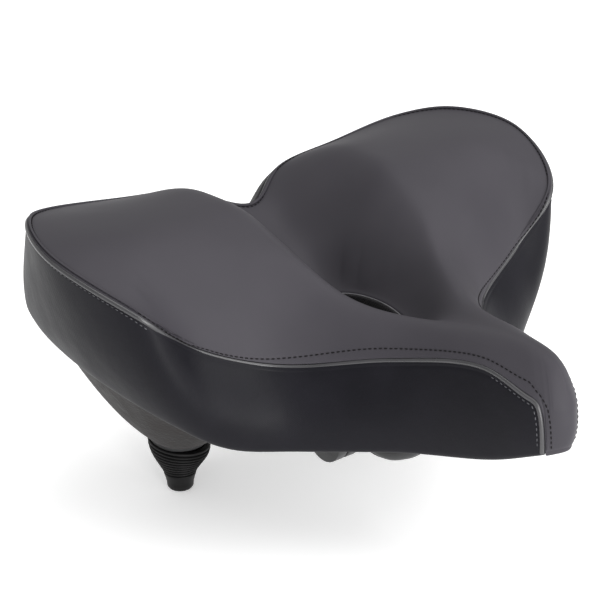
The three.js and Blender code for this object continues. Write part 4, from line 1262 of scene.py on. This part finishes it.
def lean_lip(boot, y, side):
    """Lifts the outer rear side of the lip and lowers the inner one, as the pan slopes."""
    points = points_of(boot)
    above_cuff = points[:, 2] - BOOT_BOTTOM - CUFF_HEIGHT
    share = eased(above_cuff / (BOOT_TOP - BOOT_BOTTOM - CUFF_HEIGHT))
    out = (points[:, 1] - y) * side
    reach = (points[:, 0] - SPRING_X) * LEAN_TOWARDS[0] + out * LEAN_TOWARDS[1]
    points[:, 2] += LIP_LEAN * share * reach
    boot.data.vertices.foreach_set("co", points.ravel())
    boot.data.update()


for side, hand in ((-1, "right"), (1, "left")):
    y = side * SPRING_Y
    boot = spun(f"boot_{hand}", boot_section(), SPRING_X, y, BOOT_BOTTOM)
    lean_lip(boot, y, side)
    dressed(boot, boot_rubber, "black_rubber", None, f"spring_boot_{hand}")
    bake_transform(boot)


# %% [markdown]
# A spring is one wire. A spiral that widens upwards is worked out as points, and the same
# round sweep that made the bead turns it into a wire. Its turns sit a little closer together in
# the middle than at the ends.

# %% Wind a coil spring
def coil(hand, side):
    low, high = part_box(f"coil_spring_{hand}")
    wire = 1.3 * MM
    t = np.linspace(0, 1, 260)
    radius = (4.2 * MM - wire) + (11 * MM - 4.2 * MM + wire) * t**0.8
    angle = 2 * np.pi * 4.5 * t
    rise = t + 0.02 * np.sin(2 * np.pi * t)
    x = SPRING_X + radius * np.cos(angle)
    y = side * SPRING_Y + radius * np.sin(angle)
    z = low.z + wire + (high.z - low.z - 2 * wire) * rise
    spring = swept(f"coil_{hand}", np.stack([x, y, z], axis=1), wire)
    dressed(spring, spring_steel, "spring_steel", None, f"coil_spring_{hand}")
    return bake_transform(spring)


for side, hand in ((-1, "right"), (1, "left")):
    coil(hand, side)

# %% [markdown]
# ## Rails and hardware
# The rails are bent from one round rod each. Their working shapes are right but faceted, so a
# copy is rounded by a subdivision surface, after it is fattened by what that takes away. The
# clamp and the small fittings get fine bevels that catch the light.

# %% Round the rails
ROD_SIDES = 8
ROD_RADIUS = 3.5 * MM


def rounded_rail(hand):
    rail = copy_of(f"rail_{hand}", f"rail_rod_{hand}")
    shrinks_by = 1 - (2 + math.cos(2 * math.pi / ROD_SIDES)) / 3
    only(rail)
    bpy.ops.object.mode_set(mode="EDIT")
    bpy.ops.mesh.select_all(action="SELECT")
    bpy.ops.mesh.tris_convert_to_quads(
        face_threshold=math.radians(40), shape_threshold=math.radians(60))
    bpy.ops.mesh.select_all(action="SELECT")
    bpy.ops.transform.shrink_fatten(value=ROD_RADIUS * shrinks_by)
    bpy.ops.object.mode_set(mode="OBJECT")
    subdivide_smoothly(rail, 2)
    smooth(rail)
    return dressed(rail, coated_steel, "black_steel", "rails", f"rail_{hand}")


for hand in ("right", "left"):
    rail = rounded_rail(hand)
    places = points_of(rail)
    print("rail reaches, mm:", np.round(places.min(0) / MM, 1), np.round(places.max(0) / MM, 1))


# %% Bevel the fittings
def bevelled(node, material, slot, body, width):
    """A copy of a CAD fitting with its facets merged and its edges broken."""
    piece = copy_of(node, f"{node}_part")
    only(piece)
    bpy.ops.object.mode_set(mode="EDIT")
    bpy.ops.mesh.select_all(action="SELECT")
    bpy.ops.mesh.dissolve_limited(angle_limit=math.radians(2))
    bpy.ops.object.mode_set(mode="OBJECT")
    apply_modifier(piece, "BEVEL", width=width, segments=2, limit_method="ANGLE",
                   angle_limit=math.radians(38), use_clamp_overlap=True)
    smooth_by_angle(piece, 38)
    return dressed(piece, material, slot, body, node)


STEEL = (coated_steel, "black_steel")
ZINC = (zinc_steel, "zinc_steel")
PLASTIC = (black_plastic, "black_plastic")
# node, finish and slot, body, bevel in mm
FITTINGS = [
    ("post_band", STEEL, "clamp", 0.35),
    ("clamp_bolt", ZINC, "clamp", 0.3),
    ("clamp_nut", ZINC, "clamp", 0.3),
    ("nose_bush", (boot_rubber, "black_rubber"), "rails", 0.5),
    ("nose_bracket", STEEL, "seat", 0.3),
    ("bracket_screw_rear", ZINC, "seat", 0.3),
    ("bracket_screw_front", ZINC, "seat", 0.3),
]
for hand in ("right", "left"):
    FITTINGS += [
        (f"washer_{hand}", ZINC, "clamp", 0.2),
        (f"inner_cheek_{hand}", STEEL, "carriage", 0.6),
        (f"outer_cheek_{hand}", STEEL, "carriage", 0.6),
        (f"spring_seat_{hand}", PLASTIC, "seat", 0.4),
        (f"spring_plug_{hand}", PLASTIC, "rails", 0.4),
        (f"spring_screw_{hand}", ZINC, "seat", 0.3),
    ]
for node, (material, slot), body, width in FITTINGS:
    bevelled(node, material, slot, body, width * MM)

# %% [markdown]
# ## Floor, light and camera
# A plain pale floor lies just under the boots and glows faintly, like a lit table, which
# keeps the shadow soft. A wide softbox overhead lights the top evenly, a low strip ahead of
# the nose and a larger fill beside it light the front, and a pale world fills the rest. The
# camera stands about 0.9 m away with a long lens, a little above the seat.

# %% Studio
FLOOR_Z = working_box[0][2] - 0.5 * MM
FLOOR_GLOW = 0.35
SEAT_MIDDLE = (-0.02, 0.0, 0.06)


def pale_floor():
    bpy.ops.object.select_all(action="DESELECT")
    bpy.ops.mesh.primitive_plane_add(size=12, location=(0, 0, FLOOR_Z))
    floor = bpy.context.active_object
    floor.name = "floor"
    settle(floor)
    material = bpy.data.materials.new("pale_floor")
    material.use_nodes = True
    shader = material.node_tree.nodes["Principled BSDF"]
    shader.inputs["Base Color"].default_value = (0.93, 0.93, 0.93, 1)
    shader.inputs["Roughness"].default_value = 0.9
    shader.inputs["Specular IOR Level"].default_value = 0.1
    shader.inputs["Emission Color"].default_value = (1, 1, 1, 1)
    shader.inputs["Emission Strength"].default_value = FLOOR_GLOW
    floor.data.materials.append(material)
    floor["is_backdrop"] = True


def softbox(name, place, width, height, power):
    """A rectangular light aimed at the middle of the seat."""
    light = bpy.data.lights.new(name, "AREA")
    light.shape = "RECTANGLE"
    light.size = width
    light.size_y = height
    light.energy = power
    obj = linked(name, light)
    obj.location = place
    obj.rotation_mode = "QUATERNION"
    obj.rotation_quaternion = (Vector(SEAT_MIDDLE) - Vector(place)).to_track_quat("-Z", "Y")


pale_floor()
softbox("overhead", (0.3, 0.3, 1.5), 1.8, 1.8, 16)
softbox("front_strip", (1.05, -0.3, 0.18), 0.30, 0.36, 6)
softbox("nose_fill", (1.2, 0.5, 0.7), 0.8, 0.8, 9)
world = bpy.data.worlds.new("studio")
world.use_nodes = True
world.node_tree.nodes["Background"].inputs["Color"].default_value = (1, 1, 1, 1)
world.node_tree.nodes["Background"].inputs["Strength"].default_value = 0.72
bpy.context.scene.world = world
bpy.context.scene.view_settings.view_transform = "Standard"

# %% Camera
CAMERA_PLACE = (0.6024, -0.5293, 0.4451)
CAMERA_AIM = (-0.0419, -0.0258, 0.0690)
lens = bpy.data.cameras.new("camera")
lens.lens = 114
lens.sensor_width = 36
lens.dof.use_dof = False
camera = bpy.data.objects.new("camera", lens)
bpy.context.scene.collection.objects.link(camera)
camera.location = CAMERA_PLACE
camera.rotation_mode = "QUATERNION"
camera.rotation_quaternion = (Vector(CAMERA_AIM) - Vector(CAMERA_PLACE)).to_track_quat("-Z", "Y")
bpy.context.scene.camera = camera

# %% [markdown]
# ## Measure and finish
# The finished pieces' box is compared with the working model's, and how far it grew at each
#  end of each axis is printed.

# %% Compare the boxes
finished_box = [list(corner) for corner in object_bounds()]
for axis, low, high in zip("xyz", *np.round((np.array(finished_box) - working_box) / MM, 2)):
    print(axis, "grew by", -low, "and", high, "mm")
